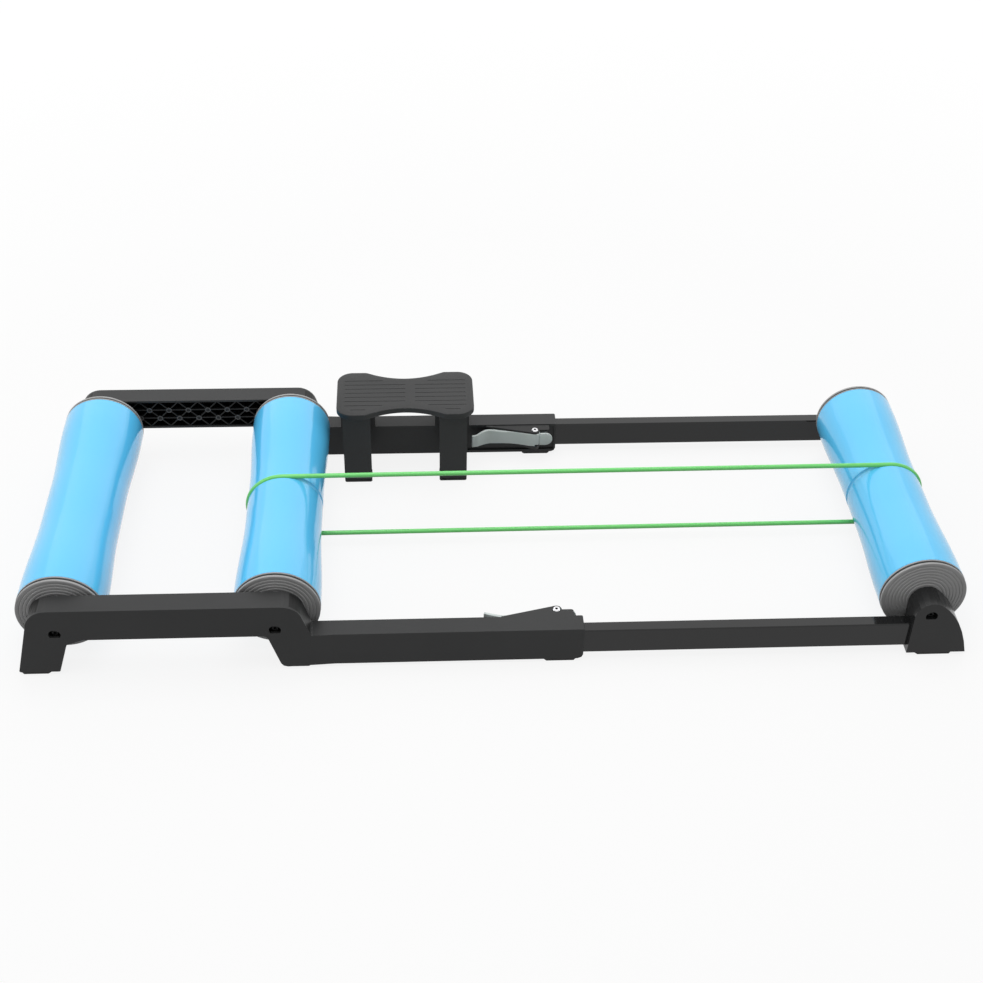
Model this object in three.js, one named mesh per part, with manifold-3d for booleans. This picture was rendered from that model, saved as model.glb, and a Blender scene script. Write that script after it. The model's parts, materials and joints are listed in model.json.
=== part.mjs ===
// Bike rollers: three waisted drums between two moulded side frames, with a belt from the middle drum
// to the front one, a front end that slides in and out on two rails, and a clip-on step.
import * as THREE from "three";
import { mergeVertices } from "three/addons/utils/BufferGeometryUtils.js";
import Module from "manifold-3d";

const wasm = await Module();
wasm.setup();

// Driving dimensions in millimetres: X forward from the rear axle, Y to the far side, Z up from the floor
const pairSpacing = 280; // rear axle to middle axle
const bedReach = 859; // middle axle to front axle, as set for a wheelbase of about a metre
const axleHeight = 70;
const endGap = 9.5; // between the rim of an end cap and the side frame
const clearance = 0.3; // between pieces that touch
const overrun = 6; // how far a cut runs past what it cuts

// Drums
const drumSpan = 408; // over the rims of both end caps
const drumEndRadius = 57.5;
const drumWaistRadius = 53;
const drumWall = 5.5;
const waistSpan = 90; // the straight stretch in the middle of a tube
const endStretch = 23.3; // the straight stretch at each end of a tube
const drumFacets = 20;
const flareSteps = 2;
const boreFlareSteps = 1;

// End caps, from the tube outwards
const bandWidth = 3;
const grooveWidth = 2.5;
const grooveDepth = 2.5;
const rimWidth = 3.2;
const rimSetback = 0.4;
const skirtDepth = 12;
const capWall = 3.3;
const ringCount = 2;
const ringRise = 1.7; // each ring of the face stands this much proud of the last
const hubRadius = 19;
const hubDepth = 17;
const hubHoleRadius = 8.5;

// Bearings, axles and their bolts
const bearingRadius = 14;
const bearingWidth = 8;
const bearingFacets = 12;
const axleRadius = 6;
const axleFacets = 12;
const axleSeat = 15.3; // how deep the axle's end sits in the frame
const seatWeb = 5; // plastic between the axle's end and the bolt's head
const axleBoreDepth = 18;
const boltRadius = 2.5;
const boltReach = 14; // into the axle's end
const boltHeadRadius = 4.25;
const boltHeadHeight = 5;
const boltFacets = 8;
const hexSides = 6;
const pocketRadius = 8; // the sunk hole that the bolt's head lies in
const pocketFlat = 4.9; // its flat floor, below the axle's centre
const pocketSteps = 10;
const bossRadius = 15;
const bossNoseRadius = 9.5;
const bossNoseLength = 5;
const bossFacets = 14;

// Side frames
const armDepth = 30.5;
const sleeveDepth = 27;
const armTop = 110;
const armUnderside = 60;
const soleHeight = 4.5;
const sleeveTop = 57;
const sleeveReach = 402; // middle axle to the sleeve's mouth
const heelReach = 55.5; // the leg's back edge at the sole, behind the rear axle
const napeReach = 29; // the same edge at the arm's top
const toeReach = 2.4; // the leg's front edge at the sole, behind the rear axle
const kneeReach = 12.5; // the same edge at the knee, ahead of the rear axle
const kneeDrop = 7.5; // below the arm's underside
const gussetReach = 34; // where the gusset over the knee meets the arm, ahead of the rear axle
const hipInset = 11; // top of the slope, behind the middle axle
const shinReach = 6; // foot of the slope, ahead of the middle axle
const shoulderReach = 29; // corner of the shoulder, ahead of the middle axle
const notchReach = 45.5; // where the shoulder meets the sleeve
const napeRound = 29;
const shoulderRound = 28;
const hipRound = 6;
const shinRound = 9;
const mouthRound = 7; // under the sleeve's mouth
const edgeRound = 2;
const cornerSteps = 3;
const chordLength = 5; // along a rounded corner
const frameWall = 3.2;
const faceWall = 6;
const ribThickness = 1.8;
const ribRecess = 1.5; // below the rim of the frame
const latticePitch = 29;
const latticeRows = 3; // cells between the arm's underside and its top
const latticeInset = 24; // from the axles to the first and last node
const nodeRadius = 3.3;
const nodeFacets = 6;
const spokeCount = 5;

// Rails
const railWidth = 18;
const railHeight = 39;
const railWall = 1.6;
const railRound = 1.6;
const railInset = 6.2; // from the sleeve's inner face to the rail
const railLift = 12; // rail's underside above the floor
const railOverlap = 120; // how much of the rail stays in the sleeve
const railSeat = 48; // how far the rail runs into the front bracket
const plugFlange = 3;
const plugDepth = 14;

// Front brackets
const bracketDepth = 34.5;
const bracketRear = 22; // behind the front axle, and the radius of the rounded top
const bracketNose = 57.7; // ahead of the front axle, at the sole
const bracketTopAngle = 60; // degrees, where the round top leaves for the flank
const bracketBelly = 44; // the flank's pull point, ahead of the front axle
const bracketBellyDrop = 4; // and below it
const bracketSteps = 6;
const screwRadius = 2;
const screwReach = 5;
const screwHeadRadius = 4;
const screwHeadHeight = 2.6;
const screwSetback = 24; // behind the rail's front end

// Feet
const footMargin = 1.2; // from the foot's edge to the frame's faces
const footRound = 3;
const footPegRadius = 3;
const footPegHeight = 3;
const footPegFacets = 8;
const rearFootLength = 37.6;
const rearFootInset = 2.4; // from the back of the leg
const middleFootLength = 29.5;
const middleFootInset = 7.6; // from the foot of the slope
const sleeveFootLength = 42;
const sleeveFootInset = 9.2; // from the sleeve's mouth
const frontFootLength = 48.8;
const frontFootInset = 13.4; // from the bracket's back

// Rail clamps
const pivotInset = 34; // the pivot bolt, behind the sleeve's mouth
const pivotReach = 13.7; // the pivot bolt, out from the sleeve's inner face
const earRadius = 7;
const earThickness = 3.2;
const earDrop = 1; // below the sleeve's top
const upperEarReach = 74; // root of the upper ear, behind the pivot
const lowerEarReach = 36; // root of the lower ear, behind the pivot
const earHeelReach = 13; // root of both ears, ahead of the pivot
const earFacets = 16;
const lowerEarThickness = 6;
const leverLength = 96.5; // pivot to tip
const leverHeight = 22.5;
const leverThickness = 4;
const leverBulge = 3; // how far the grip hangs below the rest
const barrelRadius = 7; // round the pivot
const headReach = 5.7; // the square nose of the lever's head, ahead of the pivot
const headRound = 1.5;
const camRadius = 6.5;
const leverSteps = 9;
const windowMargin = 1.5;
const recessDepth = 3;
const recessLength = 133;
const recessInset = 3; // from the sleeve's mouth
const recessMargin = 4.5; // from the sleeve's top and bottom
const pivotBoltRadius = 2.5;
const pivotHeadRadius = 5;
const pivotHeadHeight = 2.4;
const pivotHeadSink = 1.4;
const pivotNutRadius = 4.8;
const pivotNutHeight = 4;
const stopNose = 27; // the stop's round nose, ahead of the pivot
const stopHeight = 21.5;
const stopGap = 1.6; // round the lever's barrel
const stopReach = 18; // out from the sleeve's inner face
const stopSteps = 8;
const coverNose = 22.5; // the lid over the stop, ahead of the pivot
const coverReach = 13.3; // out from the sleeve's inner face
const coverRound = 3;

// Lever outlines: shares of the length from pivot to tip, then of how far it stands proud
const leverFrontShares = [
  [0, 1],
  [0.1, 0.94],
  [0.2, 0.8],
  [0.34, 0.655],
  [0.55, 0.545],
  [0.7, 0.4],
  [0.77, 0.43],
  [0.88, 0.63],
  [1, 0.87],
];
// Shares of the length, then of the lever's height below its top edge
const leverTopShares = [
  [0.7, 0],
  [0.86, 0.05],
  [1, 0.14],
];
// Shares of the length, then of the bulge below the lever's bottom edge
const leverBottomShares = [
  [1, 0.45],
  [0.9, 0.8],
  [0.78, 1],
  [0.65, 0.6],
  [0.5, 0],
];

// Belt
const beltDiameter = 6;
const beltOffset = 13; // from the middle of the drums, to the far side
const beltClearance = 0.8;
const beltFacets = 8;
const beltArcSteps = 12;
const beltGrooveSteps = 4;

// Step
const stepLength = 201;
const stepWidth = 110.5;
const stepWaistWidth = 76;
const stepCornerRadius = 30.5;
const stepTop = 129;
const stepThickness = 6;
const stepSkirt = 3;
const stepHollow = 2.4;
const stepCentreReach = 170.3; // middle of the step, ahead of the middle axle
const stepFarEdge = 40.5; // beyond the sleeve's inner face
const stepWaistSteps = 6;
const treadPitch = 10;
const treadWidth = 3;
const treadDepth = 1.2;
const treadMargin = 9;
const treadBreak = 5;
const treadCount = 9;
const legWidth = 41;
const legInset = 29; // middle of a leg, from the platform's end
const legOverhang = 6.8; // from the platform's edge to the legs, front and back
const legDepth = 22;
const legWall = 3;
const legArchRound = 18;
const legArchDrop = 17; // crown of the arch below the leg's top
const saddleFlange = 5.5;
const saddleGap = 0.4; // above the sleeve and beside it
const hookDrop = 12; // how far the hook hangs down outside the sleeve
const legTipHeight = 3;
const legPegRadius = 4;
const legPegHeight = 3;

// Derived places
const middleX = pairSpacing;
const frontX = pairSpacing + bedReach;
const frameInner = drumSpan / 2 + endGap;
const armOuter = frameInner + armDepth;
const sleeveOuter = frameInner + sleeveDepth;
const sleeveMouth = middleX + sleeveReach;
const pocketFloor = armOuter - faceWall;
const seatFloor = frameInner + axleSeat + clearance;
const pocketShelf = seatFloor + seatWeb;
const railInner = frameInner + railInset;
const railOuter = railInner + railWidth;
const railTop = railLift + railHeight;
const railRearEnd = sleeveMouth - railOverlap;
const bracketBack = frontX - bracketRear;
const railFrontEnd = bracketBack + railSeat;
const bracketInner = armOuter - bracketDepth;
const pivotX = sleeveMouth - pivotInset;
const pivotY = frameInner - pivotReach;
const leverProud = pivotReach + barrelRadius;
const earTop = sleeveTop - earDrop;
const leverTop = earTop - earThickness - clearance;
const leverBottom = leverTop - leverHeight;
const lowerEarTop = leverBottom - clearance;
const stepX = middleX + stepCentreReach;
const stepY = frameInner + stepFarEdge - stepWidth / 2;
const legFront = stepY - stepWidth / 2 + legOverhang;
const legBack = stepY + stepWidth / 2 - legOverhang;
const legTop = stepTop - stepThickness - clearance;

// Finishes
const blackPlastic = new THREE.MeshStandardMaterial({ color: 0x2b2c2d, roughness: 0.55, metalness: 0 });
const railBlack = new THREE.MeshStandardMaterial({ color: 0x1d1e20, roughness: 0.35, metalness: 0.6 });
const drumBlue = new THREE.MeshStandardMaterial({ color: 0x5cbcf2, roughness: 0.15, metalness: 0 });
const capGrey = new THREE.MeshStandardMaterial({ color: 0x6f7071, roughness: 0.5, metalness: 0 });
const leverGrey = new THREE.MeshStandardMaterial({ color: 0x87908f, roughness: 0.45, metalness: 0 });
const beltGreen = new THREE.MeshStandardMaterial({ color: 0x35c04a, roughness: 0.35, metalness: 0 });
const rubberBlack = new THREE.MeshStandardMaterial({ color: 0x161616, roughness: 0.85, metalness: 0 });
const steel = new THREE.MeshStandardMaterial({ color: 0xb9bcc0, roughness: 0.25, metalness: 0.95 });

const weldTolerance = clearance / 1000;
const quarterTurn = Math.PI / 2;

function solidOf(geometry) {
  const loose = geometry.index ? geometry.toNonIndexed() : geometry;
  const bare = new THREE.BufferGeometry();
  bare.setAttribute("position", loose.getAttribute("position"));
  const merged = mergeVertices(bare, weldTolerance);
  const mesh = new wasm.Mesh({
    numProp: 3,
    vertProperties: merged.attributes.position.array,
    triVerts: new Uint32Array(merged.index.array),
  });
  return new wasm.Manifold(mesh);
}

function geometryOf(solid) {
  const mesh = solid.getMesh();
  const positions = new Float32Array(mesh.numVert * 3);
  for (let i = 0; i < mesh.numVert; i++) {
    const start = i * mesh.numProp;
    positions.set(mesh.vertProperties.subarray(start, start + 3), i * 3);
  }
  const geometry = new THREE.BufferGeometry();
  geometry.setAttribute("position", new THREE.BufferAttribute(positions, 3));
  geometry.setIndex(new THREE.BufferAttribute(mesh.triVerts, 1));
  const faceted = geometry.toNonIndexed();
  faceted.computeVertexNormals();
  return faceted;
}

function joined(solids) {
  return solids.reduce((whole, piece) => whole.add(piece));
}

function without(solid, cuts) {
  return cuts.reduce((rest, cut) => rest.subtract(cut), solid);
}

// Every side piece is drawn for the far side, and the near one is its mirror image.
function forSide(geometry, side) {
  const loose = geometry.index ? geometry.toNonIndexed() : geometry.clone();
  if (side.sign < 0) {
    loose.scale(1, -1, 1);
    const flat = loose.attributes.position;
    for (let i = 0; i < flat.count; i += 3) {
      const b = new THREE.Vector3().fromBufferAttribute(flat, i + 1);
      const c = new THREE.Vector3().fromBufferAttribute(flat, i + 2);
      flat.setXYZ(i + 1, c.x, c.y, c.z);
      flat.setXYZ(i + 2, b.x, b.y, b.z);
    }
  }
  loose.computeVertexNormals();
  return loose;
}

function shapeOf(points, hole) {
  const shape = new THREE.Shape(points);
  if (hole) shape.holes.push(new THREE.Path(hole));
  return shape;
}

function extruded(points, depth, hole) {
  return new THREE.ExtrudeGeometry(shapeOf(points, hole), { depth, bevelEnabled: false });
}

// Prisms whose outline lies in the plane square to X, Y or Z
function prismX(points, x0, x1, hole) {
  const geometry = extruded(points, x1 - x0, hole);
  const alongY = new THREE.Vector3(0, 1, 0);
  const alongZ = new THREE.Vector3(0, 0, 1);
  const alongX = new THREE.Vector3(1, 0, 0);
  geometry.applyMatrix4(new THREE.Matrix4().makeBasis(alongY, alongZ, alongX));
  return solidOf(geometry.translate(x0, 0, 0));
}

function prismY(points, y0, y1, hole) {
  return solidOf(extruded(points, y1 - y0, hole).rotateX(quarterTurn).translate(0, y1, 0));
}

function prismZ(points, z0, z1, hole) {
  return solidOf(extruded(points, z1 - z0, hole).translate(0, 0, z0));
}

function block(x0, x1, y0, y1, z0, z1) {
  const geometry = new THREE.BoxGeometry(x1 - x0, y1 - y0, z1 - z0);
  return solidOf(geometry.translate((x0 + x1) / 2, (y0 + y1) / 2, (z0 + z1) / 2));
}

function rodY(x, z, radius, y0, y1, facets) {
  const geometry = new THREE.CylinderGeometry(radius, radius, y1 - y0, facets);
  return solidOf(geometry.translate(x, (y0 + y1) / 2, z));
}

function rodZ(x, y, radius, z0, z1, facets) {
  const geometry = new THREE.CylinderGeometry(radius, radius, z1 - z0, facets).rotateX(quarterTurn);
  return solidOf(geometry.translate(x, y, (z0 + z1) / 2));
}

function turned(profile, facets) {
  const points = profile.map(([radius, y]) => new THREE.Vector2(radius, y));
  return new THREE.LatheGeometry(points, facets);
}

function arc(cx, cy, radius, from, to, steps) {
  const points = [];
  for (let i = 0; i <= steps; i++) {
    const angle = from + ((to - from) * i) / steps;
    points.push(new THREE.Vector2(cx + radius * Math.cos(angle), cy + radius * Math.sin(angle)));
  }
  return points;
}

// A polygon of corners [across, up, round] with each corner rounded, in chords of about one length
function rounded(corners, fixedSteps) {
  const points = [];
  corners.forEach(([x, y, round = 0], i) => {
    const corner = new THREE.Vector2(x, y);
    const before = new THREE.Vector2(...corners.at(i - 1).slice(0, 2)).sub(corner);
    const after = new THREE.Vector2(...corners[(i + 1) % corners.length].slice(0, 2)).sub(corner);
    if (round <= 0) {
      points.push(corner);
      return;
    }
    const half = Math.acos(before.clone().normalize().dot(after.clone().normalize())) / 2;
    const room = Math.min(before.length(), after.length()) / 2;
    const back = Math.min(round / Math.tan(half), room);
    const radius = back * Math.tan(half);
    const bisector = before.clone().normalize().add(after.clone().normalize()).normalize();
    const centre = corner.clone().addScaledVector(bisector, radius / Math.sin(half));
    const start = corner.clone().addScaledVector(before.normalize(), back).sub(centre);
    const end = corner.clone().addScaledVector(after.normalize(), back).sub(centre);
    const sweep = Math.atan2(start.cross(end), start.dot(end));
    const steps = fixedSteps ?? Math.max(Math.round((radius * Math.abs(sweep)) / chordLength), 2);
    points.push(...arc(centre.x, centre.y, radius, start.angle(), start.angle() + sweep, steps));
  });
  return points;
}

// The same polygon with every edge moved inwards
function inset(corners, distance) {
  const area = corners.reduce((sum, [x, y], i) => {
    const [nextX, nextY] = corners[(i + 1) % corners.length];
    return sum + x * nextY - nextX * y;
  }, 0);
  const inward = Math.sign(area);
  return corners.map(([x, y, round = 0], i) => {
    const corner = new THREE.Vector2(x, y);
    const into = corner.clone().sub(new THREE.Vector2(...corners.at(i - 1).slice(0, 2))).normalize();
    const out = new THREE.Vector2(...corners[(i + 1) % corners.length].slice(0, 2)).sub(corner).normalize();
    const turn = into.cross(out) * inward;
    const normal = new THREE.Vector2(-into.y - out.y, into.x + out.x).multiplyScalar(inward).normalize();
    const square = new THREE.Vector2(-into.y, into.x).multiplyScalar(inward);
    const moved = corner.addScaledVector(normal, distance / normal.dot(square));
    return [moved.x, moved.y, Math.max(turn > 0 ? round - distance : round + distance, 0)];
  });
}

// A rectangle with its corners cut off
function rectangle(a0, a1, b0, b1, cut) {
  const corners = [
    [a0, b0, cut],
    [a1, b0, cut],
    [a1, b1, cut],
    [a0, b1, cut],
  ];
  return rounded(corners, 1);
}

function curveThrough(points, steps) {
  return new THREE.SplineCurve(points).getPoints(steps);
}

// A thin rib in the XZ plane from one point to another
function rib(from, to, thickness, y0, y1) {
  const along = to.clone().sub(from).normalize();
  const across = new THREE.Vector2(-along.y, along.x).multiplyScalar(thickness / 2);
  const near = [from.clone().sub(across), to.clone().sub(across)];
  const far = [to.clone().add(across), from.clone().add(across)];
  return prismY([...near, ...far], y0, y1);
}

function spokes(x, z, length, y0, y1) {
  const centre = new THREE.Vector2(x, z);
  return Array.from({ length: spokeCount }, (_, i) => {
    const angle = quarterTurn + (i * 2 * Math.PI) / spokeCount;
    const end = new THREE.Vector2(x + length * Math.cos(angle), z + length * Math.sin(angle));
    return rib(centre, end, ribThickness, y0, y1);
  });
}

// What every axle seat cuts: a round seat inside, a bolt hole, and a sunk hole with a flat floor outside
function seatCuts(x, innerFace, outerFace) {
  const half = Math.asin(Math.min(pocketFlat / pocketRadius, 1));
  const sunk = arc(x, axleHeight, pocketRadius, -half, Math.PI + half, pocketSteps);
  return [
    rodY(x, axleHeight, axleRadius + clearance, innerFace - bossNoseLength - overrun, seatFloor, axleFacets),
    rodY(x, axleHeight, boltRadius + clearance, seatFloor - overrun, outerFace, boltFacets),
    prismY(sunk, pocketShelf, outerFace + overrun),
  ];
}

function pegHole(x, y) {
  const top = soleHeight + footPegHeight + clearance;
  return rodZ(x, y, footPegRadius + clearance, soleHeight - overrun, top, footPegFacets);
}

const feet = {
  rear: { x0: rearFootInset - heelReach, length: rearFootLength, inner: frameInner, outer: armOuter },
  middle: {
    x0: middleX + shinReach + middleFootInset,
    length: middleFootLength,
    inner: frameInner,
    outer: sleeveOuter,
  },
  sleeve: {
    x0: sleeveMouth - sleeveFootInset - sleeveFootLength,
    length: sleeveFootLength,
    inner: frameInner,
    outer: sleeveOuter,
  },
  front: { x0: bracketBack + frontFootInset, length: frontFootLength, inner: bracketInner, outer: armOuter },
};

function footCentre({ x0, length, inner, outer }) {
  return [x0 + length / 2, (inner + outer) / 2];
}

const sideCorners = [
  [-heelReach, soleHeight, edgeRound],
  [-toeReach, soleHeight, edgeRound],
  [kneeReach, armUnderside - kneeDrop, hipRound],
  [gussetReach, armUnderside, hipRound],
  [middleX - hipInset, armUnderside, hipRound],
  [middleX + shinReach, soleHeight, shinRound],
  [sleeveMouth, soleHeight, mouthRound],
  [sleeveMouth, sleeveTop, edgeRound],
  [middleX + notchReach, sleeveTop, edgeRound],
  [middleX + shoulderReach, armTop, shoulderRound],
  [-napeReach, armTop, napeRound],
];

// The rib lattice: rows of ringed nodes, joined by level ribs and by diagonals both ways
function lattice(y0, y1) {
  const floor = armUnderside + frameWall;
  const rise = (armTop - frameWall - floor) / latticeRows;
  const start = latticeInset;
  const end = middleX - latticeInset;
  const count = Math.max(Math.round((end - start) / latticePitch), 1);
  const pitch = (end - start) / count;
  const solids = [];
  for (let row = 1; row < latticeRows; row++) {
    const z = floor + row * rise;
    const shift = row % 2 ? 0 : 1 / 2;
    solids.push(rib(new THREE.Vector2(0, z), new THREE.Vector2(middleX, z), ribThickness, y0, y1));
    for (let i = 0; i + shift <= count; i++) {
      solids.push(rodY(start + (i + shift) * pitch, z, nodeRadius, y0, y1, nodeFacets));
    }
  }
  const reach = (pitch * latticeRows) / 2;
  for (let i = -2; i <= count + 1; i++) {
    const low = new THREE.Vector2(start + (i + 1 / 2) * pitch, floor);
    for (const lean of [-reach, reach]) {
      const high = new THREE.Vector2(low.x + lean, floor + latticeRows * rise);
      solids.push(rib(low, high, ribThickness, y0, y1));
    }
  }
  return joined(solids);
}

// The arm's lattice between two upright ribs, and spokes round each axle beyond them
function frameRibs(y0, y1) {
  const uprights = [latticeInset, middleX - latticeInset];
  const spokeLength = axleHeight + heelReach;
  const zone = (x0, x1) => block(x0, x1, y0, y1, 0, armTop);
  return joined([
    lattice(y0, y1).intersect(zone(...uprights)),
    joined(spokes(0, axleHeight, spokeLength, y0, y1)).intersect(zone(-heelReach, uprights[0])),
    joined(spokes(middleX, axleHeight, spokeLength, y0, y1)).intersect(zone(uprights[1], sleeveMouth)),
    ...uprights.map((x) =>
      rib(new THREE.Vector2(x, 0), new THREE.Vector2(x, armTop), ribThickness, y0, y1),
    ),
  ]);
}

function earOutline(reach) {
  const rootY = frameInner + recessDepth + edgeRound;
  const tangent = arc(pivotX, pivotY, earRadius, -quarterTurn * 1.15, 0, cornerSteps * 2);
  return [
    new THREE.Vector2(pivotX - reach, rootY),
    new THREE.Vector2(pivotX - reach, frameInner - edgeRound),
    ...tangent,
    new THREE.Vector2(pivotX + earHeelReach, frameInner),
    new THREE.Vector2(pivotX + earHeelReach, rootY),
  ];
}

// The lid over the clamp's stop, flush with the upper ear
function stopCover() {
  const rootY = frameInner + recessDepth + edgeRound;
  const edgeY = frameInner - coverReach;
  const corners = [
    [pivotX, rootY],
    [pivotX, edgeY],
    [pivotX + coverNose, edgeY, coverRound],
    [pivotX + coverNose, rootY],
  ];
  return prismZ(rounded(corners), earTop - earThickness, earTop);
}

function sideFrame() {
  const outline = prismY(rounded(sideCorners), frameInner, armOuter);
  const taperStart = middleX + shoulderReach / 2;
  const taperEnd = middleX + notchReach + shoulderReach;
  const plan = [
    new THREE.Vector2(-heelReach - overrun, frameInner),
    new THREE.Vector2(sleeveMouth + overrun, frameInner),
    new THREE.Vector2(sleeveMouth + overrun, sleeveOuter),
    new THREE.Vector2(taperEnd, sleeveOuter),
    new THREE.Vector2(taperStart, armOuter),
    new THREE.Vector2(-heelReach - overrun, armOuter),
  ];
  const body = outline.intersect(prismZ(plan, 0, armTop + overrun));

  const hollow = prismY(rounded(inset(sideCorners, frameWall)), frameInner - overrun, pocketFloor);
  const keepSleeve = block(
    middleX - hipInset - frameWall,
    sleeveMouth + overrun,
    frameInner - overrun,
    armOuter,
    0,
    sleeveTop + frameWall,
  );
  const bosses = [0, middleX].map((x) =>
    rodY(x, axleHeight, bossRadius, frameInner, armOuter, bossFacets),
  );
  const keep = joined([keepSleeve, ...bosses, frameRibs(frameInner + ribRecess, armOuter)]);
  let frame = body.subtract(hollow.subtract(keep));

  const noses = [0, middleX].map((x) =>
    rodY(x, axleHeight, bossNoseRadius, frameInner - bossNoseLength, frameInner + frameWall, bossFacets),
  );
  frame = joined([frame, ...noses]);
  frame = without(frame, [...seatCuts(0, frameInner, armOuter), ...seatCuts(middleX, frameInner, armOuter)]);

  const channel = rectangle(
    railInner - clearance,
    railOuter + clearance,
    railLift - clearance,
    railTop + clearance,
    railRound,
  );
  const recess = block(
    sleeveMouth - recessInset - recessLength,
    sleeveMouth - recessInset,
    frameInner - overrun,
    frameInner + recessDepth,
    soleHeight + recessMargin,
    sleeveTop - recessMargin,
  );
  frame = without(frame, [prismX(channel, middleX - hipInset - overrun, sleeveMouth + overrun), recess]);

  const upperEar = prismZ(earOutline(upperEarReach), earTop - earThickness, earTop);
  const lowerEar = prismZ(earOutline(lowerEarReach), lowerEarTop - lowerEarThickness, lowerEarTop);
  frame = joined([frame, upperEar, stopCover(), lowerEar]);
  const camReach = railInner - pivotY;
  const window = block(
    pivotX - camReach - windowMargin,
    pivotX + camRadius + windowMargin,
    frameInner - overrun,
    railInner + clearance,
    leverBottom - clearance,
    leverTop + clearance,
  );
  const pivotHole = rodZ(pivotX, pivotY, pivotBoltRadius + clearance, 0, sleeveTop + overrun, boltFacets);
  const pivotSink = rodZ(
    pivotX,
    pivotY,
    pivotHeadRadius + clearance,
    earTop - pivotHeadSink,
    earTop + overrun,
    earFacets,
  );
  const pegs = [feet.rear, feet.middle, feet.sleeve].map((foot) => pegHole(...footCentre(foot)));
  return without(frame, [window, pivotHole, pivotSink, ...pegs]);
}

function rail() {
  const outside = rectangle(railInner, railOuter, railLift, railTop, railRound);
  const inside = rectangle(
    railInner + railWall,
    railOuter - railWall,
    railLift + railWall,
    railTop - railWall,
    railRound / 2,
  );
  const tube = prismX(outside, railRearEnd, railFrontEnd, inside);
  return tube.subtract(bracketScrewHole());
}

function railPlug() {
  const flange = rectangle(railInner, railOuter, railLift, railTop, railRound);
  const gap = railWall + clearance;
  const stem = rectangle(railInner + gap, railOuter - gap, railLift + gap, railTop - gap, railRound / 2);
  const flangeFront = railRearEnd - clearance;
  return joined([
    prismX(flange, flangeFront - plugFlange, flangeFront),
    prismX(stem, flangeFront - plugFlange, flangeFront + plugDepth),
  ]);
}

function bracketScrewHole() {
  const x = railFrontEnd - screwSetback;
  const z = (railLift + railTop) / 2;
  return rodY(x, z, screwRadius + clearance, bracketInner - overrun, railInner + screwReach, boltFacets);
}

function bracketCorners() {
  const top = (bracketTopAngle * Math.PI) / 180;
  const crown = arc(frontX, axleHeight, bracketRear, Math.PI, top, bracketSteps);
  const flankStart = crown.at(-1);
  const flank = new THREE.QuadraticBezierCurve(
    flankStart,
    new THREE.Vector2(frontX + bracketBelly, axleHeight - bracketBellyDrop),
    new THREE.Vector2(frontX + bracketNose, soleHeight),
  ).getPoints(bracketSteps);
  const sole = new THREE.Vector2(bracketBack, soleHeight);
  return [sole, ...crown, ...flank.slice(1)].map(({ x, y }) => [x, y, 0]);
}

function frontBracket() {
  const corners = bracketCorners();
  const body = prismY(rounded(corners), bracketInner, armOuter);
  const hollow = prismY(rounded(inset(corners, frameWall)), bracketInner - overrun, armOuter - faceWall);
  const keepRail = block(
    bracketBack - overrun,
    railFrontEnd + frameWall,
    railInner - frameWall,
    armOuter,
    0,
    railTop + frameWall,
  );
  const boss = rodY(frontX, axleHeight, bossRadius, bracketInner - 2 * overrun, armOuter, bossFacets);
  const webs = spokes(frontX, axleHeight, axleHeight, bracketInner + ribRecess, armOuter);
  const shell = body.subtract(hollow.subtract(joined([keepRail, boss, ...webs])));
  const channel = rectangle(
    railInner - clearance,
    railOuter + clearance,
    railLift - clearance,
    railTop + clearance,
    railRound,
  );
  const cuts = [
    prismX(channel, bracketBack - overrun, railFrontEnd + clearance),
    ...seatCuts(frontX, bracketInner, armOuter),
    pegHole(...footCentre(feet.front)),
  ];
  return without(shell, [...cuts, bracketScrewHole()]);
}

function bracketScrew() {
  const x = railFrontEnd - screwSetback;
  const z = (railLift + railTop) / 2;
  const seat = railInner - frameWall - clearance;
  const tip = railInner + railWall + screwReach / 2;
  const shank = rodY(x, z, screwRadius, seat - screwHeadHeight, tip, boltFacets);
  const head = rodY(x, z, screwHeadRadius, seat - screwHeadHeight, seat, boltFacets);
  return joined([shank, head]);
}

function foot(place) {
  const [x, y] = footCentre(place);
  const outline = rectangle(
    place.x0,
    place.x0 + place.length,
    place.inner + footMargin,
    place.outer - footMargin,
    footRound,
  );
  const pad = prismZ(outline, 0, soleHeight - clearance);
  const peg = rodZ(x, y, footPegRadius, soleHeight / 2, soleHeight + footPegHeight, footPegFacets);
  return joined([pad, peg]);
}

const tubeEnd = drumSpan / 2 - rimWidth - grooveWidth - bandWidth;
const flareEnd = tubeEnd - endStretch;

function drumRadius(y) {
  const from = waistSpan / 2;
  const share = Math.min(Math.max((Math.abs(y) - from) / (flareEnd - from), 0), 1);
  return drumWaistRadius + (drumEndRadius - drumWaistRadius) * share * share * (3 - 2 * share);
}

// Stations along half a drum, from its end in to the waist
function stations(steps) {
  const flare = Array.from({ length: steps + 1 }, (_, i) => {
    return flareEnd + ((waistSpan / 2 - flareEnd) * i) / steps;
  });
  return [tubeEnd, ...flare];
}

function drumTube(grooved) {
  const outer = stations(flareSteps);
  const inner = stations(boreFlareSteps);
  const grooveRadius = beltDiameter / 2 + beltClearance;
  const groove = arc(beltOffset, drumWaistRadius, grooveRadius, Math.PI, 2 * Math.PI, beltGrooveSteps);
  const grooveRow = grooved ? groove.map((p) => [Math.min(p.y, drumWaistRadius), p.x]) : [];
  const profile = [
    ...outer.map((y) => [drumRadius(y), -y]),
    ...grooveRow,
    ...outer.toReversed().map((y) => [drumRadius(y), y]),
    ...inner.map((y) => [drumRadius(y) - drumWall, y]),
    ...inner.toReversed().map((y) => [drumRadius(y) - drumWall, -y]),
  ];
  return turned([...profile, profile[0]], drumFacets);
}

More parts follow.
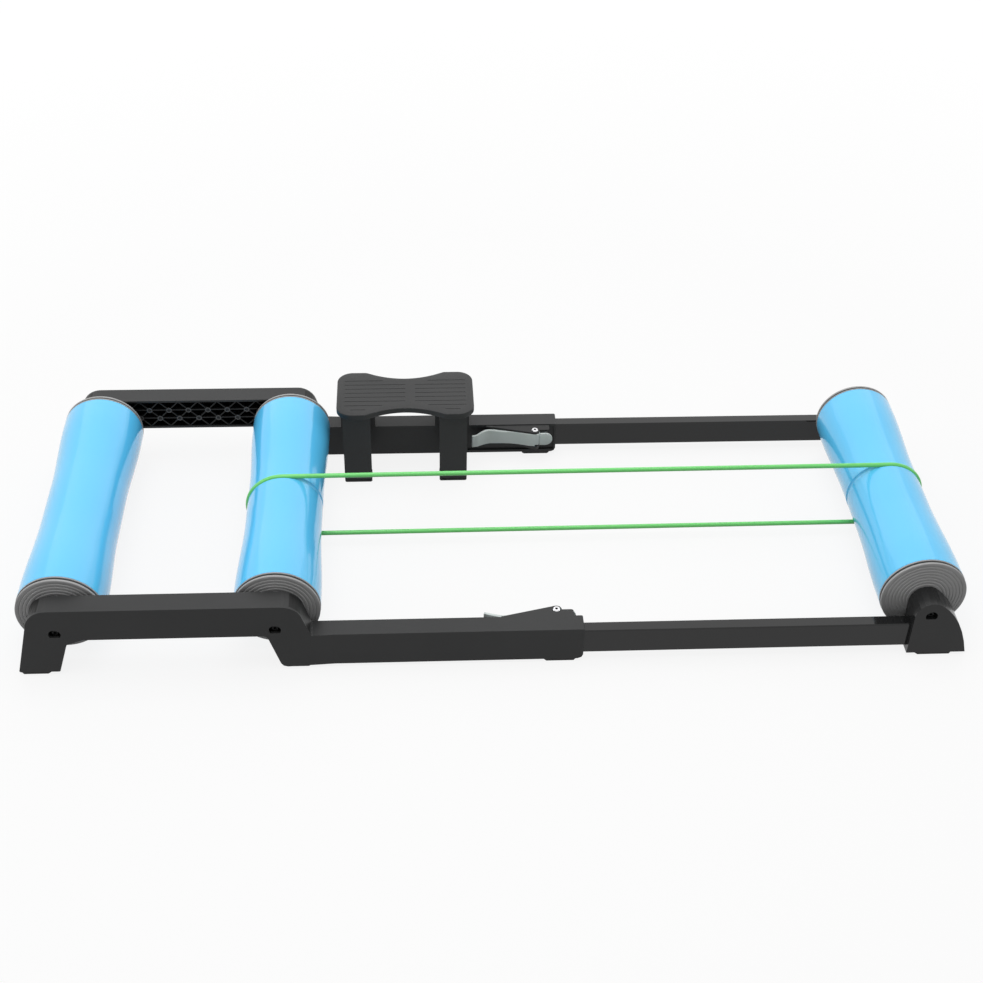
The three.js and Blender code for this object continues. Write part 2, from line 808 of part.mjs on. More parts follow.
// The cap's section, [radius, distance from the drum's middle], once round from the skirt's inner edge
function endCap() {
  const face = drumSpan / 2;
  const band = tubeEnd + clearance;
  const grooveStart = tubeEnd + bandWidth;
  const grooveEnd = grooveStart + grooveWidth;
  const skirtOuter = drumEndRadius - drumWall - clearance;
  const skirtEnd = band - skirtDepth;
  const rimRadius = drumEndRadius - rimSetback;
  const firstRing = rimRadius - rimWidth / 2;
  const rings = [];
  for (let i = 0; i < ringCount; i++) {
    const outer = firstRing - ((firstRing - hubRadius) * i) / ringCount;
    rings.push([outer, face + i * ringRise], [outer, face + (i + 1) * ringRise]);
  }
  const hubFace = face + ringCount * ringRise;
  const seat = face + clearance;
  const back = face - capWall;
  const hubEnd = seat - hubDepth + capWall;
  const profile = [
    [skirtOuter - capWall, skirtEnd],
    [skirtOuter, skirtEnd],
    [skirtOuter, band],
    [drumEndRadius, band],
    [drumEndRadius, grooveStart],
    [drumEndRadius - grooveDepth, grooveStart],
    [drumEndRadius - grooveDepth, grooveEnd],
    [rimRadius, grooveEnd],
    [rimRadius, face - rimSetback],
    ...rings,
    [hubHoleRadius, hubFace],
    [hubHoleRadius, seat],
    [bearingRadius + clearance, seat],
    [bearingRadius + clearance, hubEnd],
    [hubRadius, hubEnd],
    [hubRadius, back],
    [skirtOuter - capWall, back],
  ];
  return turned([...profile, profile[0]], drumFacets);
}

function bearing() {
  const outerFace = drumSpan / 2;
  const innerFace = outerFace - bearingWidth;
  const bore = axleRadius + clearance;
  const profile = [
    [bore, innerFace],
    [bearingRadius, innerFace],
    [bearingRadius, outerFace],
    [bore, outerFace],
  ];
  return turned([...profile, profile[0]], bearingFacets);
}

function axle() {
  const end = frameInner + axleSeat;
  const bore = boltRadius + clearance;
  const floor = end - axleBoreDepth;
  const profile = [
    [0, -floor],
    [bore, -floor],
    [bore, -end],
    [axleRadius, -end],
    [axleRadius, end],
    [bore, end],
    [bore, floor],
    [0, floor],
  ];
  return turned(profile, axleFacets);
}

function axleBolt() {
  const tip = frameInner + axleSeat - boltReach;
  const seat = pocketShelf + clearance;
  const profile = [
    [0, tip],
    [boltRadius, tip],
    [boltRadius, seat],
    [boltHeadRadius, seat],
    [boltHeadRadius, seat + boltHeadHeight],
    [0, seat + boltHeadHeight],
  ];
  return turned(profile, boltFacets);
}

function clampLever() {
  const across = ([share, proud]) =>
    new THREE.Vector2(pivotX - share * leverLength, frameInner - proud * leverProud);
  const front = curveThrough(leverFrontShares.map(across), leverSteps);
  const back = front.map(({ x, y }) => new THREE.Vector2(x, y + leverThickness)).reverse();
  const blade = prismZ([...front, ...back], 0, sleeveTop);
  const barrel = rodZ(pivotX, pivotY, barrelRadius, 0, sleeveTop, earFacets);
  const headCorners = [
    [pivotX, pivotY],
    [pivotX, frameInner - leverProud],
    [pivotX + headReach, frameInner - leverProud, headRound],
    [pivotX + headReach, pivotY],
  ];
  const head = prismZ(rounded(headCorners), 0, sleeveTop);
  const camTip = railInner - clearance - camRadius;
  const cam = rodZ(pivotX, camTip, camRadius, 0, sleeveTop, earFacets);
  const neck = block(pivotX - camRadius, pivotX + camRadius, pivotY, camTip, 0, sleeveTop);
  const plan = joined([blade, barrel, head, cam, neck]);

  const edge = (shares, level, depth) =>
    shares.map(([share, drop]) => new THREE.Vector2(pivotX - share * leverLength, level - drop * depth));
  const top = edge(leverTopShares, leverTop, leverHeight);
  const bottom = edge(leverBottomShares, leverBottom, leverBulge);
  const heel = pivotX + barrelRadius + overrun;
  const side = [
    new THREE.Vector2(heel, leverBottom),
    new THREE.Vector2(heel, leverTop),
    ...curveThrough(top, cornerSteps),
    ...curveThrough(bottom, leverSteps),
  ];
  const cutSide = prismY(side, pivotY - leverProud - overrun, railOuter);
  const hole = rodZ(pivotX, pivotY, pivotBoltRadius + clearance, 0, sleeveTop, boltFacets);
  return plan.intersect(cutSide).subtract(hole);
}

function pivotBolt() {
  const seat = earTop - pivotHeadSink + clearance;
  const top = seat + pivotHeadHeight;
  const foot = lowerEarTop - lowerEarThickness - clearance - pivotNutHeight;
  const profile = [
    [0, foot],
    [pivotBoltRadius, foot],
    [pivotBoltRadius, seat],
    [pivotHeadRadius, seat],
    [pivotHeadRadius, top],
    [0, top],
  ];
  return turned(profile, boltFacets).rotateX(quarterTurn).translate(pivotX, pivotY, 0);
}

function pivotNut() {
  const top = lowerEarTop - lowerEarThickness - clearance;
  const bottom = top - pivotNutHeight;
  const nut = rodZ(pivotX, pivotY, pivotNutRadius, bottom, top, hexSides);
  const boreRadius = pivotBoltRadius + clearance;
  return nut.subtract(rodZ(pivotX, pivotY, boreRadius, bottom - overrun, top + overrun, boltFacets));
}

// The round-nosed block that fills the clamp ahead of the lever, hollowed round the lever's barrel
function clampStop() {
  const sweep = barrelRadius + stopGap;
  const inward = stopReach - pivotReach;
  const x0 = pivotX + Math.sqrt(Math.max(sweep * sweep - inward * inward, 0));
  const round = stopHeight / 2;
  const z = (leverTop + leverBottom) / 2 - clearance;
  const nose = arc(pivotX + stopNose - round, z, round, -quarterTurn, quarterTurn, stopSteps);
  const outline = [new THREE.Vector2(x0, z - round), ...nose, new THREE.Vector2(x0, z + round)];
  const block = prismY(outline, frameInner - stopReach, frameInner + recessDepth - clearance);
  return block.subtract(rodZ(pivotX, pivotY, sweep, 0, sleeveTop, earFacets));
}

// The belt: a round section carried round both drums
function belt() {
  const right = arc(frontX, axleHeight, drumWaistRadius, -quarterTurn, quarterTurn, beltArcSteps);
  const left = arc(middleX, axleHeight, drumWaistRadius, quarterTurn, 3 * quarterTurn, beltArcSteps);
  const path = [...right, ...left];
  const centres = path.map((p, i) => (i <= beltArcSteps ? frontX : middleX));
  const positions = [];
  const ring = (i) => {
    const at = path[i % path.length];
    const out = new THREE.Vector2(at.x - centres[i % path.length], at.y - axleHeight).normalize();
    return Array.from({ length: beltFacets }, (_, k) => {
      const angle = (k * 2 * Math.PI) / beltFacets;
      const lift = (beltDiameter / 2) * Math.cos(angle);
      const side = (beltDiameter / 2) * Math.sin(angle);
      return new THREE.Vector3(at.x + out.x * lift, beltOffset + side, at.y + out.y * lift);
    });
  };
  for (let i = 0; i < path.length; i++) {
    const here = ring(i);
    const next = ring(i + 1);
    for (let k = 0; k < beltFacets; k++) {
      const other = (k + 1) % beltFacets;
      for (const v of [here[k], here[other], next[other], here[k], next[other], next[k]]) {
        positions.push(v.x, v.y, v.z);
      }
    }
  }
  const geometry = new THREE.BufferGeometry();
  geometry.setAttribute("position", new THREE.Float32BufferAttribute(positions, 3));
  geometry.computeVertexNormals();
  return geometry;
}

// Half of the platform's width at a distance from its middle, for a platform drawn in by some margin
function stepHalfWidth(x, margin) {
  const lobe = stepLength / 2 - stepCornerRadius;
  const widest = stepWidth / 2 - margin;
  const narrowest = stepWaistWidth / 2 - margin;
  if (Math.abs(x) <= lobe) {
    return narrowest + ((widest - narrowest) * (1 - Math.cos((Math.PI * Math.abs(x)) / lobe))) / 2;
  }
  const round = stepCornerRadius - margin;
  const past = Math.min(Math.abs(x) - lobe, round);
  return widest - round + Math.sqrt(round * round - past * past);
}

function stepOutline(margin) {
  const lobe = stepLength / 2 - stepCornerRadius;
  const round = stepCornerRadius - margin;
  const upper = [];
  for (let i = -stepWaistSteps; i <= stepWaistSteps; i++) upper.push((lobe * i) / stepWaistSteps);
  const corner = [];
  for (let i = 1; i <= cornerSteps; i++) corner.push(round * Math.sin((quarterTurn * i) / cornerSteps));
  const xs = [...corner.map((c) => -lobe - c).reverse(), ...upper, ...corner.map((c) => lobe + c)];
  const top = xs.map((x) => new THREE.Vector2(stepX + x, stepY + stepHalfWidth(x, margin)));
  const bottom = xs.map((x) => new THREE.Vector2(stepX + x, stepY - stepHalfWidth(x, margin)));
  return [...bottom, ...top.reverse()];
}

function legSpan(index) {
  const centre = stepX + (index ? 1 : -1) * (stepLength / 2 - legInset);
  return [centre - legWidth / 2, centre + legWidth / 2];
}

function legPegs(index, radius, z0, z1) {
  const [x0, x1] = legSpan(index);
  const margin = legDepth / 2;
  return [legFront + margin, legBack - margin].map((y) =>
    rodZ((x0 + x1) / 2, y, radius, z0, z1, footPegFacets),
  );
}

function stepPlatform() {
  const underside = stepTop - stepThickness;
  const plate = prismZ(stepOutline(0), underside, stepTop);
  const field = prismZ(stepOutline(treadMargin), stepTop - treadDepth, stepTop + overrun);
  const grooves = [];
  for (let i = 0; i < treadCount; i++) {
    const y = stepY + (i - (treadCount - 1) / 2) * treadPitch;
    const [y0, y1] = [y - treadWidth / 2, y + treadWidth / 2];
    const low = stepTop - treadDepth;
    grooves.push(
      block(stepX - stepLength / 2, stepX - treadBreak / 2, y0, y1, low, stepTop + overrun),
      block(stepX + treadBreak / 2, stepX + stepLength / 2, y0, y1, low, stepTop + overrun),
    );
  }
  const hollow = prismZ(stepOutline(stepSkirt), underside - overrun, underside + stepHollow);
  const keep = [0, 1].map((index) => {
    const [x0, x1] = legSpan(index);
    return block(x0 - saddleFlange, x1 + saddleFlange, 0, armOuter + stepWidth, 0, stepTop);
  });
  const pegs = [0, 1].flatMap((index) =>
    legPegs(index, legPegRadius + clearance, underside - overrun, legTop + legPegHeight + clearance),
  );
  return without(plate, [field.intersect(joined(grooves)), hollow.subtract(joined(keep)), ...pegs]);
}

function stepLeg(index) {
  const [x0, x1] = legSpan(index);
  const sole = legTipHeight + clearance;
  const saddleFloor = sleeveTop + saddleGap;
  const hookInner = sleeveOuter + saddleGap;
  const saddleFront = frameInner - saddleGap;
  const archTop = legTop - legArchDrop;
  const corners = [
    [legFront, sole, edgeRound],
    [legFront, legTop, 0],
    [legBack, legTop, 0],
    [legBack, saddleFloor - hookDrop, edgeRound],
    [hookInner, saddleFloor - hookDrop, 0],
    [hookInner, saddleFloor, 0],
    [saddleFront, saddleFloor, 0],
    [saddleFront, archTop, legArchRound],
    [legFront + legDepth, archTop, legArchRound],
    [legFront + legDepth, sole, edgeRound],
  ];
  const whole = prismX(rounded(corners), x0, x1);
  const openEnd = index ? x0 - overrun : x1 + overrun;
  const closedEnd = index ? x1 - legWall : x0 + legWall;
  const hollow = block(
    Math.min(openEnd, closedEnd),
    Math.max(openEnd, closedEnd),
    legFront + legWall,
    legBack - legWall,
    sole + legWall,
    legTop - legWall,
  );
  const floor = block(x0, x1, saddleFront, legBack, sole, saddleFloor + legWall);
  const flange = block(
    x0 - saddleFlange,
    x1 + saddleFlange,
    saddleFront,
    saddleFront + legWall,
    saddleFloor,
    legTop,
  );
  const pegs = legPegs(index, legPegRadius, legTop - legWall / 2, legTop + legPegHeight);
  const hole = pegHoleInTip(index);
  return joined([whole.subtract(hollow.subtract(floor)), flange, ...pegs]).subtract(hole);
}

function tipPeg(index, radius, z0, z1) {
  const [x0, x1] = legSpan(index);
  return rodZ((x0 + x1) / 2, legFront + legDepth / 2, radius, z0, z1, footPegFacets);
}

function pegHoleInTip(index) {
  return tipPeg(index, footPegRadius + clearance, 0, legTipHeight + clearance + legWall + overrun);
}

function stepTip(index) {
  const [x0, x1] = legSpan(index);
  const pad = prismZ(rectangle(x0, x1, legFront, legFront + legDepth, edgeRound), 0, legTipHeight);
  return joined([pad, tipPeg(index, footPegRadius, legTipHeight / 2, legTipHeight + legWall)]);
}

// Assembly
const sides = [
  { name: "near", sign: -1 },
  { name: "far", sign: 1 },
];
const drums = [
  { name: "rear", x: 0, grooved: false },
  { name: "middle", x: middleX, grooved: true },
  { name: "front", x: frontX, grooved: true },
];

const bikeRollers = new THREE.Group();
const trainer = new THREE.Group();
bikeRollers.add(trainer);
const base = new THREE.Group();
const carriage = new THREE.Group();
const step = new THREE.Group();
trainer.add(base, carriage, step);

function addPart(group, name, geometry, material) {
  const mesh = new THREE.Mesh(geometry, material);
  mesh.name = name;
  group.add(mesh);
  return mesh;
}

const frameGeometry = geometryOf(sideFrame());
const railGeometry = geometryOf(rail());
const plugGeometry = geometryOf(railPlug());
const bracketGeometry = geometryOf(frontBracket());
const screwGeometry = geometryOf(bracketScrew());
const leverGeometry = geometryOf(clampLever());
const pivotBoltGeometry = pivotBolt();
const pivotNutGeometry = geometryOf(pivotNut());
const stopGeometry = geometryOf(clampStop());
const footGeometries = Object.entries(feet).map(([name, place]) => [name, geometryOf(foot(place))]);

for (const side of sides) {
  addPart(base, `${side.name}_side_frame`, forSide(frameGeometry, side), blackPlastic);
  addPart(base, `${side.name}_lever_pivot_bolt`, forSide(pivotBoltGeometry, side), steel);
  addPart(base, `${side.name}_lever_pivot_nut`, forSide(pivotNutGeometry, side), steel);
  addPart(base, `${side.name}_clamp_stop`, forSide(stopGeometry, side), leverGrey);
  addPart(base, `${side.name}_clamp_lever`, forSide(leverGeometry, side), leverGrey);
  addPart(carriage, `${side.name}_rail`, forSide(railGeometry, side), railBlack);
  addPart(carriage, `${side.name}_rail_plug`, forSide(plugGeometry, side), blackPlastic);
  addPart(carriage, `${side.name}_front_bracket`, forSide(bracketGeometry, side), blackPlastic);
  addPart(carriage, `${side.name}_bracket_screw`, forSide(screwGeometry, side), steel);
  for (const [name, geometry] of footGeometries) {
    const group = name === "front" ? carriage : base;
    addPart(group, `${side.name}_${name}_foot`, forSide(geometry, side), rubberBlack);
  }
}

for (const drum of drums) {
  const roller = new THREE.Group();
  roller.position.set(drum.x, 0, axleHeight);
  (drum.name === "front" ? carriage : base).add(roller);
  addPart(roller, `${drum.name}_roller_tube`, drumTube(drum.grooved), drumBlue);
  addPart(roller, `${drum.name}_axle`, axle(), steel);
  for (const side of sides) {
    const prefix = `${side.name}_${drum.name}`;
    addPart(roller, `${prefix}_end_cap`, forSide(endCap(), side), capGrey);
    addPart(roller, `${prefix}_bearing`, forSide(bearing(), side), steel);
    addPart(roller, `${prefix}_axle_bolt`, forSide(axleBolt(), side), railBlack);
  }
}

addPart(base, "drive_belt", belt(), beltGreen);

addPart(step, "step_platform", geometryOf(stepPlatform()), blackPlastic);
["rear", "front"].forEach((name, index) => {
  addPart(step, `step_${name}_leg`, geometryOf(stepLeg(index)), blackPlastic);
  addPart(step, `step_${name}_tip`, geometryOf(stepTip(index)), rubberBlack);
});

// The origin is on the floor under the middle of the whole outline
const bounds = new THREE.Box3().setFromObject(trainer, true);
const middle = bounds.getCenter(new THREE.Vector3());
trainer.position.set(-middle.x, -middle.y, 0);

export default bikeRollers;
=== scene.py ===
"""Looks for the bike rollers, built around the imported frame."""
import json
import math

import bmesh
import bpy
from mathutils import Matrix, Vector


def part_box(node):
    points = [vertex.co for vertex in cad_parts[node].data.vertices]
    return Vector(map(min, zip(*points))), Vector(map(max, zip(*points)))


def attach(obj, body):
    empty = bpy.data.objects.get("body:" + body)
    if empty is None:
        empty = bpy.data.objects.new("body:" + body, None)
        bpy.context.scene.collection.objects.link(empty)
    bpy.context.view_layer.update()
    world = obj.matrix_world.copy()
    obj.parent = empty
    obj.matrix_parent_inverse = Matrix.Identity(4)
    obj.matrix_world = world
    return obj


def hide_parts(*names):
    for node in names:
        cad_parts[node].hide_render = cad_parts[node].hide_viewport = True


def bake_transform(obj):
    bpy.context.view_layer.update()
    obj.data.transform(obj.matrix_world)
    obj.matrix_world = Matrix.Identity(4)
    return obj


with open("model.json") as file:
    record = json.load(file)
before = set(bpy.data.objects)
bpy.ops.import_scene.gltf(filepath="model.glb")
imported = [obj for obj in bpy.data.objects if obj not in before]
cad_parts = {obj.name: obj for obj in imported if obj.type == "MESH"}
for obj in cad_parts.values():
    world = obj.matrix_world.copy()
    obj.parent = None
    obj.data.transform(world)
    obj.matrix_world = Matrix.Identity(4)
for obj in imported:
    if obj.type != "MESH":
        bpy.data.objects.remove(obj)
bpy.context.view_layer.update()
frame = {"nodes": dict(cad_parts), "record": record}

MM = 0.001
TAU = 2 * math.pi
SIDES = ("near", "far")
DRUMS = ("rear", "middle", "front")


# Places taken from the frame
def centre(node):
    low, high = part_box(node)
    return (Vector(low) + Vector(high)) / 2


AXLES = {drum: centre(drum + "_axle") for drum in DRUMS}
MID_Y = AXLES["rear"].y


def side_sign(side):
    return -1 if side == "near" else 1


# Meshes
SMOOTH_ANGLE = 35
CORNER_SHARE = 0.45  # the most of an edge that one rounded corner takes


def finish_mesh(name, bm, smooth_angle=SMOOTH_ANGLE):
    bmesh.ops.recalc_face_normals(bm, faces=bm.faces)
    mesh = bpy.data.meshes.new(name)
    bm.to_mesh(mesh)
    bm.free()
    obj = bpy.data.objects.new(name, mesh)
    bpy.context.scene.collection.objects.link(obj)
    smooth(obj, smooth_angle)
    return obj


def smooth(obj, angle):
    """Smooth shading that keeps the edges sharper than the angle."""
    mesh = obj.data
    bm = bmesh.new()
    bm.from_mesh(mesh)
    limit = math.radians(angle)
    sharp = [e.index for e in bm.edges if len(e.link_faces) != 2 or e.calc_face_angle(0) > limit]
    bm.free()
    mesh.polygons.foreach_set("use_smooth", [True] * len(mesh.polygons))
    found = mesh.attributes.get("sharp_edge")
    attribute = found or mesh.attributes.new("sharp_edge", "BOOLEAN", "EDGE")
    marks = [False] * len(mesh.edges)
    for index in sharp:
        marks[index] = True
    attribute.data.foreach_set("value", marks)


def rings_to_mesh(bm, rings, loop=False):
    """Joins closed rings of points into a skin; loop joins the last ring to the first."""
    made = [[bm.verts.new(p) for p in ring] for ring in rings]
    pairs = list(zip(made, made[1:]))
    if loop:
        pairs.append((made[-1], made[0]))
    for low, high in pairs:
        count = len(low)
        for i in range(count):
            j = (i + 1) % count
            bm.faces.new((low[i], low[j], high[j], high[i]))
    return made


def add_lathe(bm, profile, place, segments, closed=True):
    """Turns [radius, distance along Y] about the Y axis through place.

    The ends of a profile that isn't closed get a face each.
    """
    rings = []
    for radius, along in profile:
        ring = []
        for i in range(segments):
            angle = TAU * i / segments
            ring.append(Vector((
                place.x + radius * math.cos(angle),
                place.y + along,
                place.z + radius * math.sin(angle),
            )))
        rings.append(ring)
    made = rings_to_mesh(bm, rings, loop=closed)
    if not closed:
        for ring in (made[0], made[-1]):
            bm.faces.new(ring)


def lathe(name, profile, place, segments):
    bm = bmesh.new()
    add_lathe(bm, profile, place, segments)
    return finish_mesh(name, bm)


def arc(cx, cy, radius, start, stop, steps):
    """Points of an arc between two angles in degrees."""
    return [
        (
            cx + radius * math.cos(math.radians(start + (stop - start) * i / steps)),
            cy + radius * math.sin(math.radians(start + (stop - start) * i / steps)),
        )
        for i in range(steps + 1)
    ]


def rounded_profile(points, radius, steps=2):
    """Rounds each corner of a closed profile by about the radius."""
    made = []
    count = len(points)
    for i, point in enumerate(points):
        p = Vector(point)
        a = Vector(points[i - 1]) - p
        b = Vector(points[(i + 1) % count]) - p
        back = min(radius, a.length * CORNER_SHARE, b.length * CORNER_SHARE)
        start = p + a.normalized() * back
        end = p + b.normalized() * back
        for k in range(steps + 1):
            t = k / steps
            q = start.lerp(p, t).lerp(p.lerp(end, t), t)
            made.append((q.x, q.y))
    return made


# Materials
PATCH_DETAIL, PATCH_ROUGHNESS = 3, 0.5
GRAIN_DETAIL, GRAIN_ROUGHNESS = 2, 0.6
PATCH_STOPS = (0.35, 0.65)
GRAIN_RANGE = (0.3, 0.7)


def noise(nodes, links, coordinates, scale, detail, roughness):
    texture = nodes.new("ShaderNodeTexNoise")
    texture.inputs["Scale"].default_value = scale
    texture.inputs["Detail"].default_value = detail
    texture.inputs["Roughness"].default_value = roughness
    links.new(coordinates, texture.inputs["Vector"])
    return texture.outputs["Fac"]


def ramp(nodes, links, value, stops):
    made = nodes.new("ShaderNodeValToRGB")
    elements = made.color_ramp.elements
    for element, (position, colour) in zip(elements, stops):
        element.position = position
        element.color = (*colour, 1)
    links.new(value, made.inputs["Fac"])
    return made.outputs["Color"]


def spread(nodes, links, value, low, high):
    """Spreads the usual range of a noise between two numbers."""
    made = nodes.new("ShaderNodeMapRange")
    made.inputs["From Min"].default_value = GRAIN_RANGE[0]
    made.inputs["From Max"].default_value = GRAIN_RANGE[1]
    made.inputs["To Min"].default_value = low
    made.inputs["To Max"].default_value = high
    links.new(value, made.inputs["Value"])
    return made.outputs["Result"]


def material(name, dark, light, rough, grain_scale, grain_depth, patch_scale=9, metal=0.0,
             coat=0.0, coat_rough=0.08, specular=0.5, stretch=(1, 1, 1)):
    """A surface with colour patches, uneven gloss and a fine grain in its relief."""
    made = bpy.data.materials.new(name)
    made.use_nodes = True
    nodes, links = made.node_tree.nodes, made.node_tree.links
    shader = nodes["Principled BSDF"]
    place = nodes.new("ShaderNodeTexCoord").outputs["Object"]
    if stretch != (1, 1, 1):
        mapping = nodes.new("ShaderNodeMapping")
        mapping.inputs["Scale"].default_value = stretch
        links.new(place, mapping.inputs["Vector"])
        place = mapping.outputs["Vector"]
    patches = noise(nodes, links, place, patch_scale, PATCH_DETAIL, PATCH_ROUGHNESS)
    grain = noise(nodes, links, place, grain_scale, GRAIN_DETAIL, GRAIN_ROUGHNESS)
    colour = ramp(nodes, links, patches, zip(PATCH_STOPS, (dark, light)))
    links.new(colour, shader.inputs["Base Color"])
    links.new(spread(nodes, links, grain, *rough), shader.inputs["Roughness"])
    bump = nodes.new("ShaderNodeBump")
    bump.inputs["Strength"].default_value = 1
    bump.inputs["Distance"].default_value = grain_depth
    links.new(grain, bump.inputs["Height"])
    links.new(bump.outputs["Normal"], shader.inputs["Normal"])
    shader.inputs["Metallic"].default_value = metal
    shader.inputs["Specular IOR Level"].default_value = specular
    shader.inputs["Coat Weight"].default_value = coat
    shader.inputs["Coat Roughness"].default_value = coat_rough
    return made


DRUM_GLOSS = {
    "rough": (0.14, 0.18), "grain_scale": 160, "grain_depth": 0.006 * MM, "patch_scale": 4,
    "coat": 0.4, "coat_rough": 0.04, "specular": 0.4,
}
FRAME_PLASTIC = material(
    "frame_plastic", dark=(0.028, 0.0285, 0.029), light=(0.033, 0.0335, 0.034),
    rough=(0.36, 0.42), grain_scale=1400, grain_depth=0.03 * MM, specular=0.22)
# A darker, glossier copy of the frame plastic for the front brackets: the gloss is their finish,
# the darker colour is painted shade
BRACKET_SHADED_PLASTIC = material(
    "bracket_plastic_painted_shade", dark=(0.014, 0.0143, 0.0146), light=(0.018, 0.0183, 0.0186),
    rough=(0.22, 0.28), grain_scale=1400, grain_depth=0.01 * MM, specular=0.28)
RAIL_BLACK = material(
    "rail_aluminium", dark=(0.008, 0.0082, 0.0085), light=(0.011, 0.0112, 0.0115),
    rough=(0.07, 0.11), grain_scale=700, grain_depth=0.004 * MM, specular=0.38,
    stretch=(0.05, 1, 1))
DRUM_BLUE = material(
    "drum_plastic", dark=(0.108, 0.58, 0.97), light=(0.116, 0.6, 0.98), **DRUM_GLOSS)
CAP_GREY = material(
    "cap_plastic", dark=(0.33, 0.33, 0.33), light=(0.37, 0.37, 0.37),
    rough=(0.34, 0.42), grain_scale=900, grain_depth=0.02 * MM, specular=0.4)
# A lighter copy of the frame plastic for the lattice's proud rings: painted light
RING_LIT_PLASTIC = material(
    "ring_plastic_painted_light", dark=(0.046, 0.0465, 0.047), light=(0.053, 0.0535, 0.054),
    rough=(0.36, 0.42), grain_scale=1400, grain_depth=0.03 * MM)
# A lighter copy of the drum plastic for the belt grooves: painted light over the shade in the
# grooves
DRUM_GROOVE_LIT = material(
    "drum_groove_painted_light", dark=(0.2, 0.68, 0.98), light=(0.22, 0.7, 0.99), **DRUM_GLOSS)
LEVER_GREY = material(
    "lever_plastic", dark=(0.56, 0.62, 0.6), light=(0.61, 0.66, 0.645),
    rough=(0.36, 0.44), grain_scale=1000, grain_depth=0.02 * MM)
BELT_GREEN = material(
    "belt_rubber", dark=(0.17, 0.7, 0.175), light=(0.19, 0.73, 0.19),
    rough=(0.3, 0.38), grain_scale=500, grain_depth=0.02 * MM)
FOOT_RUBBER = material(
    "foot_rubber", dark=(0.012, 0.012, 0.012), light=(0.018, 0.018, 0.018),
    rough=(0.7, 0.85), grain_scale=1200, grain_depth=0.05 * MM)
BOLT_STEEL = material(
    "bolt_steel", dark=(0.55, 0.55, 0.56), light=(0.68, 0.68, 0.69),
    rough=(0.2, 0.3), grain_scale=600, grain_depth=0.01 * MM, metal=1.0)
BLACK_STEEL = material(
    "black_steel", dark=(0.006, 0.006, 0.0065), light=(0.009, 0.009, 0.0095),
    rough=(0.4, 0.5), grain_scale=600, grain_depth=0.01 * MM, specular=0.2)

# The side frames get painted shade: their colour is darkened inside their open pockets and
# on the far clamp's lid, whose limits are set from its pivot, the middle plane and the floor
FRAME_INNER = 213.5 * MM
RIB_RECESS = 1.5 * MM
POCKET_SHADE_FADE = 2.6 * MM
POCKET_SHADE_BACK = 240 * MM
POCKET_SHADE_HEIGHTS = (62 * MM, 107.5 * MM)
POCKET_SHADE_TONE = 0.1
LID_SHADE_TONE = 0.45
CLAMP_PIVOT = centre("far_lever_pivot_bolt")
LID_SHADE_LIMITS = {
    "X": (CLAMP_PIVOT.x - 64 * MM, CLAMP_PIVOT.x + 28 * MM),
    "Y": (MID_Y + 150 * MM, MID_Y + FRAME_INNER - 0.2 * MM),
    "Z": (50 * MM, 60 * MM),
}


def calculate(nodes, links, operation, first, second):
    """A maths node; the first input is a socket, the second a socket or a number."""
    made = nodes.new("ShaderNodeMath")
    made.operation = operation
    links.new(first, made.inputs[0])
    if isinstance(second, float):
        made.inputs[1].default_value = second
    else:
        links.new(second, made.inputs[1])
    return made.outputs[0]


def within(nodes, links, value, limits):
    """One where the value lies between the limits, and zero elsewhere."""
    above = calculate(nodes, links, "GREATER_THAN", value, limits[0])
    below = calculate(nodes, links, "LESS_THAN", value, limits[1])
    return calculate(nodes, links, "MULTIPLY", above, below)


def paint_side_frame_shade(finish):
    """A copy of the finish with painted shade, darker by the object's own places."""
    made = finish.copy()
    made.name = "side_frame_plastic_painted_shade"
    nodes, links = made.node_tree.nodes, made.node_tree.links
    split = nodes.new("ShaderNodeSeparateXYZ")
    links.new(nodes.new("ShaderNodeTexCoord").outputs["Object"], split.inputs[0])
    aside = calculate(nodes, links, "SUBTRACT", split.outputs["Y"], float(MID_Y))
    aside = calculate(nodes, links, "ABSOLUTE", aside, 0.0)
    deep = nodes.new("ShaderNodeMapRange")
    deep.inputs["From Min"].default_value = FRAME_INNER
    deep.inputs["From Max"].default_value = FRAME_INNER + POCKET_SHADE_FADE
    deep.inputs["To Max"].default_value = 1 - POCKET_SHADE_TONE
    links.new(aside, deep.inputs["Value"])
    depth = within(nodes, links, aside, (FRAME_INNER, POCKET_SHADE_BACK))
    pocket = calculate(nodes, links, "MULTIPLY", deep.outputs["Result"], depth)
    height = within(nodes, links, split.outputs["Z"], POCKET_SHADE_HEIGHTS)
    pocket = calculate(nodes, links, "MULTIPLY", pocket, height)
    lid = within(nodes, links, split.outputs["X"], LID_SHADE_LIMITS["X"])
    for axis in ("Y", "Z"):
        inside = within(nodes, links, split.outputs[axis], LID_SHADE_LIMITS[axis])
        lid = calculate(nodes, links, "MULTIPLY", lid, inside)
    lid = calculate(nodes, links, "MULTIPLY", lid, 1 - LID_SHADE_TONE)
    dark = calculate(nodes, links, "ADD", pocket, lid)
    tone = nodes.new("ShaderNodeMapRange")
    tone.inputs["To Min"].default_value = 1
    tone.inputs["To Max"].default_value = 0
    links.new(dark, tone.inputs["Value"])
    shader = nodes["Principled BSDF"]
    colour = shader.inputs["Base Color"].links[0].from_socket
    scaled = nodes.new("ShaderNodeVectorMath")
    scaled.operation = "SCALE"
    links.new(colour, scaled.inputs[0])
    links.new(tone.outputs["Result"], scaled.inputs["Scale"])
    links.new(scaled.outputs["Vector"], shader.inputs["Base Color"])
    return made


# The side frames' finish, with painted shade in the pockets and on the far clamp's lid
SIDE_FRAME_PAINTED_SHADE = paint_side_frame_shade(FRAME_PLASTIC)

